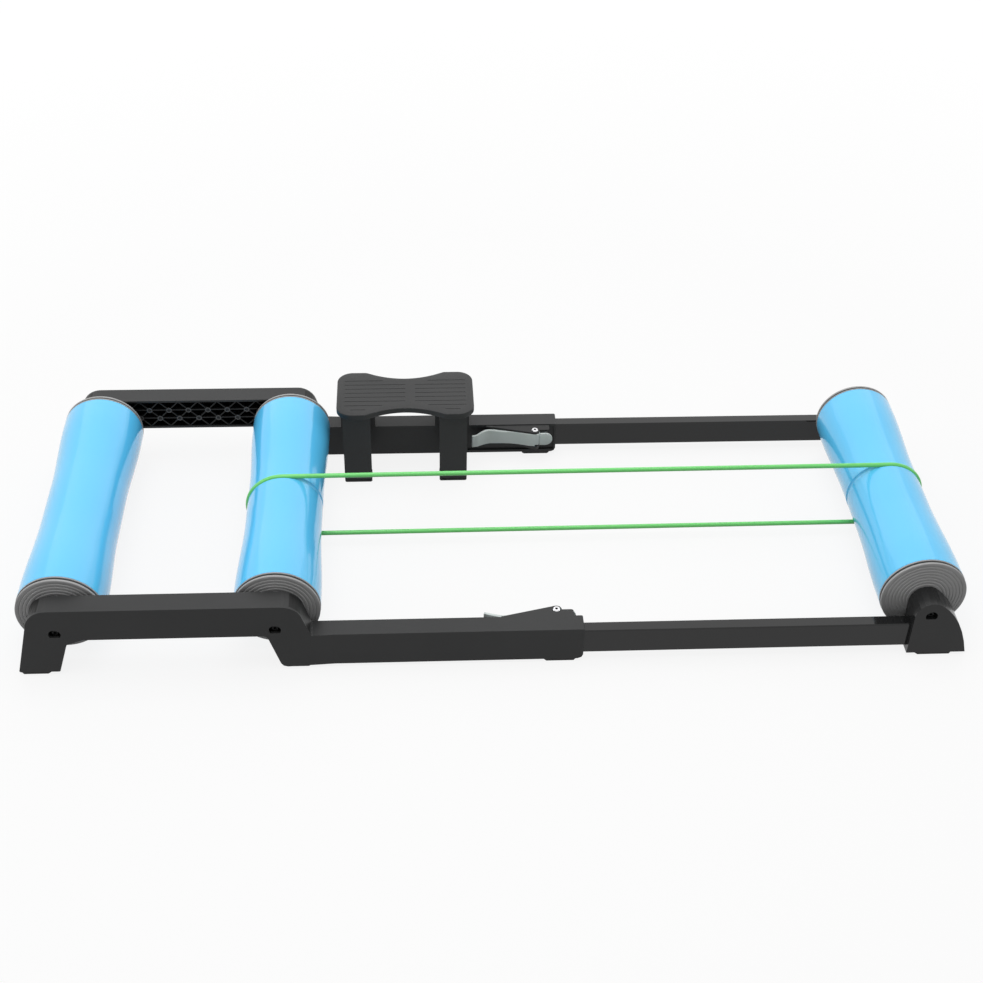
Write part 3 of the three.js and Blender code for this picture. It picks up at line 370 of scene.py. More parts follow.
SLOT_LOOKS = {
    "frame_plastic": FRAME_PLASTIC,
    "rail_aluminium": RAIL_BLACK,
    "drum_plastic": DRUM_BLUE,
    "cap_plastic": CAP_GREY,
    "lever_plastic": LEVER_GREY,
    "belt_rubber": BELT_GREEN,
    "foot_rubber": FOOT_RUBBER,
    "bolt_steel": BOLT_STEEL,
    "black_steel": BLACK_STEEL,
}
NODE_SLOTS = {entry["node"]: entry["material_slot"] for entry in frame["record"]["subparts"]}


def dress(obj, slot):
    obj.data.materials.clear()
    obj.data.materials.append(SLOT_LOOKS[slot])


def add_piece(obj, slot, body):
    """The piece gets a slot's finish and rides on a body."""
    dress(obj, slot)
    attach(obj, body)
    return obj


def stand_for(obj, node, body):
    """The piece takes a node's place, its finish and its body."""
    add_piece(obj, NODE_SLOTS[node], body)
    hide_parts(node)


# Nodes that are shown as they are get their finish and softened edges
NODE_ANGLE = 40
BEVEL_SEGMENTS = 3
NODE_BEVELS = {
    "side_frame": 1.0 * MM,
    "front_bracket": 1.2 * MM,
    "rail": 0.3 * MM,
    "rail_plug": 0.4 * MM,
    "foot": 0.6 * MM,
    "leg": 1.0 * MM,
    "tip": 0.6 * MM,
}
NODE_LOOKS = {
    # painted shade in the side frames' pockets and on the far clamp's lid
    "side_frame": SIDE_FRAME_PAINTED_SHADE,
    # the brackets' darker copy, whose darker colour is painted shade
    "front_bracket": BRACKET_SHADED_PLASTIC,
    "pivot_nut": BLACK_STEEL,
}


def by_ending(table, name, otherwise=None):
    return next((made for end, made in table.items() if name.endswith(end)), otherwise)


for name, obj in frame["nodes"].items():
    look = by_ending(NODE_LOOKS, name, SLOT_LOOKS[NODE_SLOTS[name]])
    for slot in obj.material_slots:
        slot.material = look
    smooth(obj, NODE_ANGLE)
    width = by_ending(NODE_BEVELS, name)
    if width:
        bevel = obj.modifiers.new("edges", "BEVEL")
        bevel.width = width
        bevel.segments = BEVEL_SEGMENTS
        bevel.limit_method = "ANGLE"
        bevel.angle_limit = math.radians(NODE_ANGLE)
        bevel.harden_normals = True

# Raised rings where the lattice's ribs cross
NODE_INSET = 24 * MM
NODE_PITCH = 29 * MM
NODE_ROWS = ((77.7 * MM, 0.0), (92.3 * MM, 0.5))
RING_RADIUS = 4.4 * MM
RING_HOLE = 2.5 * MM
RING_PROUD = 1.3 * MM
RING_SEGMENTS = 32
RING_ROUND = 0.3 * MM
HOLE_SHADE_HEIGHT = 0.25 * MM


def lattice_rings(side):
    """Two rows of raised rings on the ribs of a side frame, with black discs in their holes as
    painted shade.
    """
    sign = side_sign(side)
    start = AXLES["rear"].x + NODE_INSET
    ribs = MID_Y + sign * (FRAME_INNER + RIB_RECESS)
    span = AXLES["middle"].x - AXLES["rear"].x - 2 * NODE_INSET
    count = round(span / NODE_PITCH)
    ring = rounded_profile([
        (RING_HOLE, 0), (RING_RADIUS, 0),
        (RING_RADIUS, -sign * RING_PROUD), (RING_HOLE, -sign * RING_PROUD),
    ], RING_ROUND)
    hole_shade = [(RING_HOLE, 0), (RING_HOLE, -sign * HOLE_SHADE_HEIGHT)]
    rings, hole_shades = bmesh.new(), bmesh.new()
    for z, shift in NODE_ROWS:
        for i in range(count + 1):
            x = (i + shift) * span / count
            if 0 < x < span:
                place = Vector((start + x, ribs, z))
                add_lathe(rings, ring, place, RING_SEGMENTS)
                add_lathe(hole_shades, hole_shade, place, RING_SEGMENTS, closed=False)
    bosses = add_piece(finish_mesh(f"{side}_lattice_rings", rings), "frame_plastic", "base")
    # The rings take the lighter copy of the frame plastic as painted light
    bosses.data.materials[0] = RING_LIT_PLASTIC
    # Black discs in the rings' holes: painted shade
    add_piece(finish_mesh(f"{side}_lattice_hole_shades", hole_shades), "foot_rubber", "base")


for side in SIDES:
    lattice_rings(side)

# Drums
DRUM_SPAN = 408 * MM
DRUM_END_RADIUS = 57.5 * MM
DRUM_WAIST_RADIUS = 53 * MM
DRUM_WALL = 5.5 * MM
WAIST_HALF = 45 * MM
SHOULDER_HALF = 172 * MM
TUBE_HALF = 195.3 * MM
FLARE_STEPS = 20
DRUM_SEGMENTS = 144
BELT_OFFSETS = {"middle": 10.2 * MM, "front": 15 * MM}
BELT_RADIUS = 3.3 * MM
BELT_SINK = 0.7 * MM
GROOVE_RADIUS = 3.4 * MM
GROOVE_STEPS = 12
LIP = 0.5 * MM


def drum_radius(y):
    """The outer radius: an even waist, a smooth flare on each side, then even ends."""
    t = min(max((abs(y) - WAIST_HALF) / (SHOULDER_HALF - WAIST_HALF), 0), 1)
    return DRUM_WAIST_RADIUS + (DRUM_END_RADIUS - DRUM_WAIST_RADIUS) * t * t * (3 - 2 * t)


def drum_tube(drum):
    reach = SHOULDER_HALF - WAIST_HALF
    flare = [WAIST_HALF + reach * i / FLARE_STEPS for i in range(FLARE_STEPS + 1)]
    outer = [(drum_radius(-y), -y) for y in reversed(flare)]
    if drum != "rear":
        offset = BELT_OFFSETS[drum]
        groove = arc(offset, DRUM_WAIST_RADIUS - BELT_SINK, GROOVE_RADIUS, 180, 360, GROOVE_STEPS)
        outer += [(DRUM_WAIST_RADIUS, offset - GROOVE_RADIUS - LIP)]
        outer += [(r, y) for y, r in groove]
        outer += [(DRUM_WAIST_RADIUS, offset + GROOVE_RADIUS + LIP)]
    outer += [(drum_radius(y), y) for y in flare]
    skin = [(DRUM_END_RADIUS - LIP, -TUBE_HALF), (DRUM_END_RADIUS, -TUBE_HALF + LIP)]
    skin += outer
    skin += [(DRUM_END_RADIUS, TUBE_HALF - LIP), (DRUM_END_RADIUS - LIP, TUBE_HALF)]
    inside = [(drum_radius(y) - DRUM_WALL, y) for y in [TUBE_HALF, *reversed(flare)]]
    inside += [(r, -y) for r, y in reversed(inside)]
    piece = lathe(f"{drum}_drum", skin + inside, AXLES[drum], DRUM_SEGMENTS)
    stand_for(piece, f"{drum}_roller_tube", f"{drum}_roller")
    if drum != "rear":
        # The faces in the groove take the lighter copy, as painted light over the groove's shade
        piece.data.materials.append(DRUM_GROOVE_LIT)
        for face in piece.data.polygons:
            away = face.center - AXLES[drum]
            radius = math.hypot(away.x, away.z)
            in_groove = (abs(away.y - BELT_OFFSETS[drum]) < GROOVE_RADIUS
                         and radius > DRUM_WAIST_RADIUS - DRUM_WALL)
            face.material_index = int(in_groove)


# End caps: a band, a dark groove, a rim, then a face of raised rings
CAP_BAND = 2.2 * MM
CAP_GROOVE = 3.1 * MM
CAP_GROOVE_DEPTH = 4.6 * MM
CAP_SETBACK = 0.4 * MM
CAP_SKIRT = 12 * MM
CAP_WALL = 3.3 * MM
CAP_RINGS = 8
CAP_RISE = 3.4 * MM
CAP_EDGE = 1.6 * MM
RING_GROOVE = 1.1 * MM
RING_GROOVE_DEPTH = 1 * MM
CAP_GROOVE_SHADE_DEPTH = 0.9 * MM
HUB_RADIUS = 19 * MM
HUB_HOLE = 8.5 * MM
HUB_DEPTH = 17 * MM
BEARING_RADIUS = 14 * MM
FIT = 0.3 * MM
CAP_ROUND = 0.25 * MM
CAP_GROOVE_SHADE_ROUND = 0.4 * MM
CAP_SEGMENTS = 120


def cap_profile():
    """[radius, distance from the drum's middle] once round the section of a cap."""
    face = DRUM_SPAN / 2
    band = TUBE_HALF + FIT
    groove_start = TUBE_HALF + CAP_BAND
    groove_end = groove_start + CAP_GROOVE
    skirt = DRUM_END_RADIUS - DRUM_WALL - FIT
    rim = DRUM_END_RADIUS - CAP_SETBACK
    first = rim - CAP_EDGE
    points = [
        (skirt - CAP_WALL, band - CAP_SKIRT),
        (skirt, band - CAP_SKIRT),
        (skirt, band),
        (DRUM_END_RADIUS, band),
        (DRUM_END_RADIUS, groove_start),
        (DRUM_END_RADIUS - CAP_GROOVE_DEPTH, groove_start),
        (DRUM_END_RADIUS - CAP_GROOVE_DEPTH, groove_end),
        (rim, groove_end),
        (rim, face - CAP_SETBACK),
        (first, face),
    ]
    for i in range(1, CAP_RINGS):
        edge = first - (first - HUB_RADIUS) * i / CAP_RINGS
        level = face + CAP_RISE * i / CAP_RINGS
        points += [
            (edge + RING_GROOVE, level - CAP_RISE / CAP_RINGS),
            (edge + RING_GROOVE / 2, level - RING_GROOVE_DEPTH),
            (edge, level),
        ]
    hub_face = face + CAP_RISE
    seat = face + FIT
    points += [
        (HUB_HOLE, hub_face),
        (HUB_HOLE, seat),
        (BEARING_RADIUS + FIT, seat),
        (BEARING_RADIUS + FIT, seat - HUB_DEPTH + CAP_WALL),
        (HUB_RADIUS, seat - HUB_DEPTH + CAP_WALL),
        (HUB_RADIUS, face - CAP_WALL),
        (skirt - CAP_WALL, face - CAP_WALL),
    ]
    return rounded_profile(points, CAP_ROUND)


def end_cap(drum, side):
    sign = side_sign(side)
    profile = [(r, y * sign) for r, y in cap_profile()]
    piece = lathe(f"{side}_{drum}_cap", profile, AXLES[drum], CAP_SEGMENTS)
    stand_for(piece, f"{side}_{drum}_end_cap", f"{drum}_roller")


def cap_groove_shade(drum, side):
    """A black ring in the feet's rubber finish that fills the groove behind the cap's rim, as
    painted shade.
    """
    low, high = DRUM_END_RADIUS - CAP_GROOVE_DEPTH, DRUM_END_RADIUS - CAP_GROOVE_SHADE_DEPTH
    start = TUBE_HALF + CAP_BAND
    stop = start + CAP_GROOVE
    corners = [(low, start), (high, start), (high, stop), (low, stop)]
    sign = side_sign(side)
    profile = [(r, y * sign) for r, y in rounded_profile(corners, CAP_GROOVE_SHADE_ROUND)]
    piece = lathe(f"{side}_{drum}_seal", profile, AXLES[drum], CAP_SEGMENTS)
    add_piece(piece, "foot_rubber", f"{drum}_roller")


for drum in DRUMS:
    drum_tube(drum)
    for side in SIDES:
        end_cap(drum, side)
        # A black ring in each cap's groove: painted shade
        cap_groove_shade(drum, side)

# Belt
BELT_ARC_STEPS = 48
BELT_RUN_STEPS = 60
BELT_SIDES = 20
BELT_SMOOTH_ANGLE = 60


def belt_path():
    """Points and outward directions once round the two drums, in the XZ plane."""
    rear, front = AXLES["middle"], AXLES["front"]
    path = []
    for i in range(BELT_ARC_STEPS + 1):
        angle = -math.pi / 2 + math.pi * i / BELT_ARC_STEPS
        path.append((front.x, front.z, angle))
    for i in range(1, BELT_RUN_STEPS):
        path.append((front.x + (rear.x - front.x) * i / BELT_RUN_STEPS, front.z, math.pi / 2))
    for i in range(BELT_ARC_STEPS + 1):
        angle = math.pi / 2 + math.pi * i / BELT_ARC_STEPS
        path.append((rear.x, rear.z, angle))
    for i in range(1, BELT_RUN_STEPS):
        path.append((rear.x + (front.x - rear.x) * i / BELT_RUN_STEPS, rear.z, 3 * math.pi / 2))
    return path


def belt():
    """A round ring that lies in both grooves."""
    rear, front = AXLES["middle"], AXLES["front"]
    rings = []
    for x, z, angle in belt_path():
        out = Vector((math.cos(angle), 0, math.sin(angle)))
        share = min(max((x - rear.x) / (front.x - rear.x), 0), 1)
        offset = BELT_OFFSETS["middle"] + share * (BELT_OFFSETS["front"] - BELT_OFFSETS["middle"])
        middle = Vector((x, MID_Y + offset, z)) + out * (DRUM_WAIST_RADIUS - BELT_SINK)
        ring = []
        for k in range(BELT_SIDES):
            turn = TAU * k / BELT_SIDES
            aside = Vector((0, BELT_RADIUS * math.sin(turn), 0))
            ring.append(middle + out * BELT_RADIUS * math.cos(turn) + aside)
        rings.append(ring)
    bm = bmesh.new()
    rings_to_mesh(bm, rings, loop=True)
    piece = finish_mesh("round_belt", bm, BELT_SMOOTH_ANGLE)
    dress(piece, "belt_rubber")
    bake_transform(piece)
    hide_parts("drive_belt")


belt()

# Axle bolts with a socket head, deep in their sunk holes
BOLT_RADIUS = 2.5 * MM
BOLT_HEAD_RADIUS = 4.25 * MM
BOLT_HEAD_HEIGHT = 5 * MM
SOCKET_RADIUS = 2.3 * MM
SOCKET_DEPTH = 2.6 * MM
BOLT_SEGMENTS = 48
BOLT_EDGE = 0.4 * MM


def hexagon(radius, angle):
    """The distance to a hexagon's edge at an angle."""
    sixth = TAU / 6
    return radius * math.cos(sixth / 2) / math.cos(angle % sixth - sixth / 2)


def bolt_profile(head_base, head_top, shank, head, socket, depth, edge):
    """[radius, height] from the bolt's tip at zero to the floor of its socket."""
    return [
        (0.0, 0), (shank, 0), (shank, head_base), (head, head_base), (head, head_top - edge),
        (head - edge, head_top), (socket, head_top), (socket, head_top - depth),
        (0.0, head_top - depth),
    ]


def lathe_solid(bm, profile, place, segments, matrix, socket=None):
    """Turns [radius, height] about Z with closed ends, then sets it by the matrix.

    A radius equal to the socket's becomes a hexagon.
    """
    rings = []
    for radius, height in profile:
        if radius == 0:
            rings.append([bm.verts.new(matrix @ (Vector(place) + Vector((0, 0, height))))])
            continue
        ring = []
        for i in range(segments):
            angle = TAU * i / segments
            r = hexagon(radius, angle) if socket == radius else radius
            offset = Vector((r * math.cos(angle), r * math.sin(angle), height))
            ring.append(bm.verts.new(matrix @ (Vector(place) + offset)))
        rings.append(ring)
    for low, high in zip(rings, rings[1:]):
        for i in range(segments):
            j = (i + 1) % segments
            if len(low) == 1:
                bm.faces.new((low[0], high[j], high[i]))
            elif len(high) == 1:
                bm.faces.new((low[i], low[j], high[0]))
            else:
                bm.faces.new((low[i], low[j], high[j], high[i]))


def axle_bolt(drum, side):
    node = f"{side}_{drum}_axle_bolt"
    sign = side_sign(side)
    low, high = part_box(node)
    tip, top = (high[1], low[1]) if sign < 0 else (low[1], high[1])
    axle = AXLES[drum]
    length = abs(top - tip)
    profile = bolt_profile(length - BOLT_HEAD_HEIGHT, length, BOLT_RADIUS, BOLT_HEAD_RADIUS,
                           SOCKET_RADIUS, SOCKET_DEPTH, BOLT_EDGE)
    turned = Matrix.Rotation(-sign * math.pi / 2, 4, "X")
    matrix = Matrix.Translation((axle.x, tip, axle.z)) @ turned
    bm = bmesh.new()
    lathe_solid(bm, profile, (0, 0, 0), BOLT_SEGMENTS, matrix, SOCKET_RADIUS)
    piece = finish_mesh(f"{side}_{drum}_bolt", bm)
    stand_for(piece, node, "front_carriage" if drum == "front" else "base")


for drum in DRUMS:
    for side in SIDES:
        axle_bolt(drum, side)

# Clamp levers; the shares run from the pivot to the tip and are smooth curves
LEVER_LENGTH = 95.4 * MM
LEVER_PROUD = 20.7 * MM
LEVER_THICK = 4 * MM
LEVER_BULGE = 3 * MM
LEVER_STEPS = 60
LEVER_EDGE = 1.1 * MM
BARREL_RADIUS = 8.3 * MM
HEAD_DEPTH = 7 * MM
BARREL_LIFT = 2.2 * MM
CAM_RADIUS = 6.5 * MM
CAM_REACH = 13.1 * MM
LEVER_SEGMENTS = 64
LEVER_PROBE = 0.01
SHARE_TOLERANCE = 1e-9
LEVER_FRONT_SHARES = [
    (0, 1), (0.1, 0.94), (0.2, 0.8), (0.34, 0.655), (0.55, 0.545), (0.7, 0.4), (0.78, 0.44),
    (0.85, 0.6), (0.92, 0.8), (1, 0.92),
]
LEVER_TOP_SHARES = [(0, 0), (0.7, 0), (0.79, 0.02), (0.85, 0.08), (0.92, 0.16), (1, 0.15)]
LEVER_BOTTOM_SHARES = [(0, 0), (0.5, 0), (0.65, 0.6), (0.78, 1), (0.9, 0.8), (1, 0.45)]


def through(points, t):
    """A smooth curve through the points, as a function of the first number."""
    xs = [x for x, _ in points]
    i = max(k for k in range(len(points) - 1) if xs[k] <= t + SHARE_TOLERANCE)

    def slope(k):
        a, b = points[max(k - 1, 0)], points[min(k + 1, len(points) - 1)]
        return (b[1] - a[1]) / (b[0] - a[0])

    (x0, y0), (x1, y1) = points[i], points[i + 1]
    width = x1 - x0
    u = (t - x0) / width
    return (
        (2 * u ** 3 - 3 * u ** 2 + 1) * y0 + (u ** 3 - 2 * u ** 2 + u) * width * slope(i)
        + (3 * u ** 2 - 2 * u ** 3) * y1 + (u ** 3 - u ** 2) * width * slope(i + 1)
    )


def section_loop(corners, edge, steps=4):
    """A section with rounded edges, from its corner points in space."""
    ring = []
    for i, corner in enumerate(corners):
        before = corners[i - 1] - corner
        after = corners[(i + 1) % len(corners)] - corner
        start = corner + before.normalized() * min(edge, before.length * CORNER_SHARE)
        end = corner + after.normalized() * min(edge, after.length * CORNER_SHARE)
        for k in range(steps + 1):
            t = k / steps
            ring.append(start.lerp(corner, t).lerp(corner.lerp(end, t), t))
    return ring


def lever(side):
    """A curved arm with a rounded section, and a head round the pivot."""
    node = f"{side}_clamp_lever"
    sign = side_sign(side)
    low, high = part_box(node)
    pivot = centre(f"{side}_lever_pivot_bolt")
    face = MID_Y + sign * FRAME_INNER
    top, base = high[2], low[2] + LEVER_BULGE
    height = top - base
    bm = bmesh.new()
    rings = []
    for i in range(LEVER_STEPS + 1):
        share = i / LEVER_STEPS
        x = pivot.x - share * LEVER_LENGTH
        before, after = max(share - LEVER_PROBE, 0), min(share + LEVER_PROBE, 1)
        rise = through(LEVER_FRONT_SHARES, after) - through(LEVER_FRONT_SHARES, before)
        span = (after - before) * LEVER_LENGTH
        along = Vector((-span, -sign * rise * LEVER_PROUD)).normalized()
        inward = Vector((-along.y, along.x))
        if inward.y * sign > 0:
            inward = -inward
        skin = Vector((x, face - sign * through(LEVER_FRONT_SHARES, share) * LEVER_PROUD))
        back = skin - inward * LEVER_THICK
        z_top = top - through(LEVER_TOP_SHARES, share) * height
        z_low = base - through(LEVER_BOTTOM_SHARES, share) * LEVER_BULGE
        rings.append(section_loop([
            Vector((skin.x, skin.y, z_low)), Vector((skin.x, skin.y, z_top)),
            Vector((back.x, back.y, z_top)), Vector((back.x, back.y, z_low)),
        ], LEVER_EDGE))
    made = rings_to_mesh(bm, rings)
    for ring in (made[0], made[-1]):
        bm.faces.new(ring)
    outline = []
    cam_y = pivot.y + sign * CAM_REACH
    for i in range(LEVER_SEGMENTS):
        angle = TAU * i / LEVER_SEGMENTS
        across, up = math.cos(angle), math.sin(angle)
        inward = min(-sign * BARREL_RADIUS * up, HEAD_DEPTH)
        outline.append((pivot.x + BARREL_RADIUS * across, pivot.y - sign * inward))
        outline.append((pivot.x + CAM_RADIUS * across, cam_y + CAM_RADIUS * up))
    add_post(bm, hull(outline), base + BARREL_LIFT, top, LEVER_EDGE)
    stand_for(finish_mesh(f"{side}_lever", bm), node, f"{side}_lever")


def hull(points):
    """The convex outline of the points, anticlockwise."""
    points = sorted(set(points))

    def turns_left(a, b, c):
        return (b[0] - a[0]) * (c[1] - a[1]) - (b[1] - a[1]) * (c[0] - a[0]) > 0

    def half(items):
        made = []
        for p in items:
            while len(made) > 1 and not turns_left(made[-2], made[-1], p):
                made.pop()
            made.append(p)
        return made[:-1]

    return half(points) + half(points[::-1])


def inset_outline(outline, distance):
    """Each point of a convex outline moved inwards."""
    made = []
    count = len(outline)
    for i, point in enumerate(outline):
        before, after = Vector(outline[i - 1]), Vector(outline[(i + 1) % count])
        tangent = (after - before).normalized()
        made.append(Vector(point) + Vector((-tangent.y, tangent.x)) * distance)
    return made


def add_post(bm, outline, low, high, edge, steps=3):
    """An upright prism with rounded top and bottom edges; the outline runs anticlockwise."""
    turns = [math.pi / 2 - math.pi / 2 * k / steps for k in range(steps + 1)]
    levels = [(low + edge * (1 - math.sin(a)), edge * (1 - math.cos(a))) for a in turns]
    levels += [(high - (z - low), distance) for z, distance in reversed(levels)]
    rings = [[Vector((p.x, p.y, z)) for p in inset_outline(outline, distance)]
             for z, distance in levels]
    made = rings_to_mesh(bm, rings)
    bm.faces.new(made[0][::-1])
    bm.faces.new(made[-1])


# Clamp stops: a thin round-nosed plate that carries on the lever's line, on a core behind it
STOP_NOSE = 27 * MM
STOP_PLATE = 2.6 * MM
STOP_SWEEP = 8.6 * MM
STOP_EDGE = 0.9 * MM
STOP_STEPS = 24
STOP_LAYERS = 8
CORE_NOSE = 20 * MM
CORE_DROP = 4.5 * MM
CORE_MARGIN = 1 * MM


def stop(side):
    node = f"{side}_clamp_stop"
    sign = side_sign(side)
    low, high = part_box(node)
    pivot = centre(f"{side}_lever_pivot_bolt")
    front, back = (high[1], low[1]) if sign < 0 else (low[1], high[1])
    radius = (high[2] - low[2]) / 2
    middle_z = (high[2] + low[2]) / 2
    bm = bmesh.new()
    rings = []
    for k in range(STOP_LAYERS + 1):
        depth = STOP_PLATE * k / STOP_LAYERS
        y = front + sign * depth
        inset = STOP_EDGE - math.sqrt(max(STOP_EDGE ** 2 - max(STOP_EDGE - depth, 0) ** 2, 0))
        root = pivot.x + math.sqrt(max(STOP_SWEEP ** 2 - (y - pivot.y) ** 2, 0))
        ring = [Vector((root, y, middle_z - radius + inset)),
                Vector((root, y, middle_z + radius - inset))]
        for i in range(STOP_STEPS + 1):
            angle = math.pi / 2 - math.pi * i / STOP_STEPS
            ring.append(Vector((
                pivot.x + STOP_NOSE - radius + (radius - inset) * math.cos(angle), y,
                middle_z + (radius - inset) * math.sin(angle),
            )))
        rings.append(ring)
    made = rings_to_mesh(bm, rings)
    bm.faces.new(made[0])
    bm.faces.new(made[-1][::-1])
    skin = front + sign * STOP_PLATE
    root, nose = pivot.x + STOP_SWEEP, pivot.x + CORE_NOSE
    core = [(root, skin), (nose, skin), (nose, back), (root, back)]
    core = core if sign > 0 else core[::-1]
    add_post(bm, core, low[2] + CORE_MARGIN, high[2] - CORE_DROP, CORE_MARGIN / 2)
    stand_for(finish_mesh(f"{side}_stop", bm), node, "base")


for side in SIDES:
    lever(side)
    stop(side)

# Pivot bolts: a domed head with a socket
PIVOT_RADIUS = 2.5 * MM
PIVOT_HEAD_RADIUS = 5 * MM
PIVOT_HEAD_HEIGHT = 2.4 * MM
PIVOT_SOCKET = 2.2 * MM
PIVOT_SOCKET_DEPTH = 1.4 * MM
PIVOT_EDGE = 0.9 * MM
SOCKET_SHADE = 0.3 * MM
SOCKET_SHADE_RADIUS = 0.8 * PIVOT_SOCKET


def pivot_bolt(side):
    """The bolt, and a dark disc on the floor of its socket as painted shade."""
    node = f"{side}_lever_pivot_bolt"
    low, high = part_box(node)
    place = centre(node)
    length = high[2] - low[2]
    profile = bolt_profile(length - PIVOT_HEAD_HEIGHT, length, PIVOT_RADIUS, PIVOT_HEAD_RADIUS,
                           PIVOT_SOCKET, PIVOT_SOCKET_DEPTH, PIVOT_EDGE)
    unmoved = Matrix.Identity(4)
    bm = bmesh.new()
    lathe_solid(bm, profile, (place.x, place.y, low[2]), BOLT_SEGMENTS, unmoved, PIVOT_SOCKET)
    stand_for(finish_mesh(f"{side}_pivot_bolt", bm), node, "base")
    # A black disc on the socket's floor: painted shade
    bottom = high[2] - PIVOT_SOCKET_DEPTH
    disc = [(0.0, bottom), (SOCKET_SHADE_RADIUS, bottom),
            (SOCKET_SHADE_RADIUS, bottom + SOCKET_SHADE), (0.0, bottom + SOCKET_SHADE)]
    bm = bmesh.new()
    lathe_solid(bm, disc, (place.x, place.y, 0), BOLT_SEGMENTS, unmoved)
    add_piece(finish_mesh(f"{side}_pivot_socket_shade", bm), "black_steel", "base")


for side in SIDES:
    pivot_bolt(side)

# Step platform: a waisted plate with a skirt below it and a tread of grooves
STEP_LENGTH = 203 * MM
STEP_SHIFT = 1 * MM
STEP_WIDTH = 110.5 * MM
STEP_WAIST = 77.5 * MM
STEP_WAIST_REACH = 58 * MM
STEP_WAIST_SOFTNESS = 0.05
STEP_CORNER = 23 * MM
STEP_EDGE = 1.5 * MM
STEP_SKIRT = 2.5 * MM
STEP_OUTLINE_STEPS = 40
STEP_CORNER_STEPS = 24
STEP_EDGE_STEPS = 5
STEP_SMOOTH_ANGLE = 50
STEP_WELD = 0.001 * MM
TREAD_PITCH = 10.6 * MM
TREAD_HALF = 1.5 * MM
TREAD_DEPTH = 0.3 * MM
TREAD_MARGIN = 11 * MM
TREAD_BREAK = 3 * MM
TREAD_BREAK_PLACE = 13 * MM
TREAD_ROWS = range(-4, 4)
TREAD_TRIES = 400
TREAD_SEGMENTS = 24
TREAD_ABOVE = 2 * MM


def step_half_width(x, margin):
    """Half the plate's width at x from its middle, inside a margin."""
    lobe = STEP_LENGTH / 2 - STEP_CORNER
    widest = STEP_WIDTH / 2 - margin
    narrowest = STEP_WAIST / 2 - margin
    if abs(x) <= lobe:
        bow = 1 - (x / STEP_WAIST_REACH) ** 2
        return widest - (widest - narrowest) * (bow + math.hypot(bow, STEP_WAIST_SOFTNESS)) / 2
    radius = STEP_CORNER - margin
    past = min(abs(x) - lobe, radius)
    return widest - radius + math.sqrt(max(radius * radius - past * past, 0))


def step_outline(place, margin):
    """The plate's outline inside a margin, anticlockwise."""
    lobe = STEP_LENGTH / 2 - STEP_CORNER
    radius = STEP_CORNER - margin
    flat_steps = range(-STEP_OUTLINE_STEPS, STEP_OUTLINE_STEPS + 1)
    flat = [lobe * i / STEP_OUTLINE_STEPS for i in flat_steps]
    turns = [math.pi / 2 * i / STEP_CORNER_STEPS for i in range(1, STEP_CORNER_STEPS + 1)]
    round_end = [radius * math.sin(turn) for turn in turns]
    xs = [-lobe - r for r in reversed(round_end)] + flat + [lobe + r for r in round_end]
    near = [(place.x + x, place.y - step_half_width(x, margin)) for x in xs]
    far = [(place.x + x, place.y + step_half_width(x, margin)) for x in reversed(xs)]
    return near + far


def tread_bars(place):
    """The middle and half length of each groove in the tread."""
    bars = []
    tries = [STEP_LENGTH / 2 * i / TREAD_TRIES for i in range(TREAD_TRIES + 1)]
    tries = [x for x in tries if x <= STEP_LENGTH / 2 - TREAD_MARGIN]
    for row in TREAD_ROWS:
        y = row * TREAD_PITCH
        kept = [x for x in tries if abs(y) + TREAD_HALF <= step_half_width(x, TREAD_MARGIN)]
        first, last = kept[0], kept[-1]
        for end in (-1, 1):
            start = first
            if first == 0:
                start = max(0, TREAD_BREAK / 2 + end * TREAD_BREAK_PLACE)
            bars.append((place.x + end * (start + last) / 2, place.y + y, (last - start) / 2))
    return bars


def tread_cutter(place, top):
    """The grooves as upright bars with round ends, which stand above the plate's top."""
    bm = bmesh.new()
    for x, y, half in tread_bars(place):
        points = []
        for i in range(TREAD_SEGMENTS):
            angle = TAU * i / TREAD_SEGMENTS
            shift = half - TREAD_HALF if math.cos(angle) > 0 else -(half - TREAD_HALF)
            points.append((x + shift + TREAD_HALF * math.cos(angle),
                           y + TREAD_HALF * math.sin(angle)))
        rings = [[Vector((px, py, z)) for px, py in points]
                 for z in (top - TREAD_DEPTH, top + TREAD_ABOVE)]
        made = rings_to_mesh(bm, rings)
        bm.faces.new(made[0][::-1])
        bm.faces.new(made[-1])
    return finish_mesh("tread_cutter", bm)


def step_top():
    node = "step_platform"
    low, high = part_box(node)
    place = centre(node) + Vector((STEP_SHIFT, 0, 0))
    base = low[2] - STEP_SKIRT
    levels = [(base, STEP_EDGE / 3), (base + STEP_EDGE / 3, 0)]
    for k in range(STEP_EDGE_STEPS + 1):
        a = math.pi / 2 * k / STEP_EDGE_STEPS
        levels.append((high[2] - STEP_EDGE * (1 - math.sin(a)), STEP_EDGE * (1 - math.cos(a))))
    rings = [[Vector((x, y, z)) for x, y in step_outline(place, margin)]
             for z, margin in levels]
    bm = bmesh.new()
    made = rings_to_mesh(bm, rings)
    bm.faces.new(made[0][::-1])
    bm.faces.new(made[-1])
    bmesh.ops.remove_doubles(bm, verts=bm.verts, dist=STEP_WELD)
    plate = finish_mesh("step_top", bm, STEP_SMOOTH_ANGLE)
    cutter = tread_cutter(place, high[2])
    cut = plate.modifiers.new("treads", "BOOLEAN")
    cut.object = cutter
    cut.operation = "DIFFERENCE"
    cut.solver = "EXACT"
    bpy.context.view_layer.update()
    evaluated = plate.evaluated_get(bpy.context.evaluated_depsgraph_get())
    plate.data = bpy.data.meshes.new_from_object(evaluated)
    plate.modifiers.clear()
    bpy.data.objects.remove(cutter)
    smooth(plate, NODE_ANGLE)
    stand_for(plate, node, "step")


step_top()

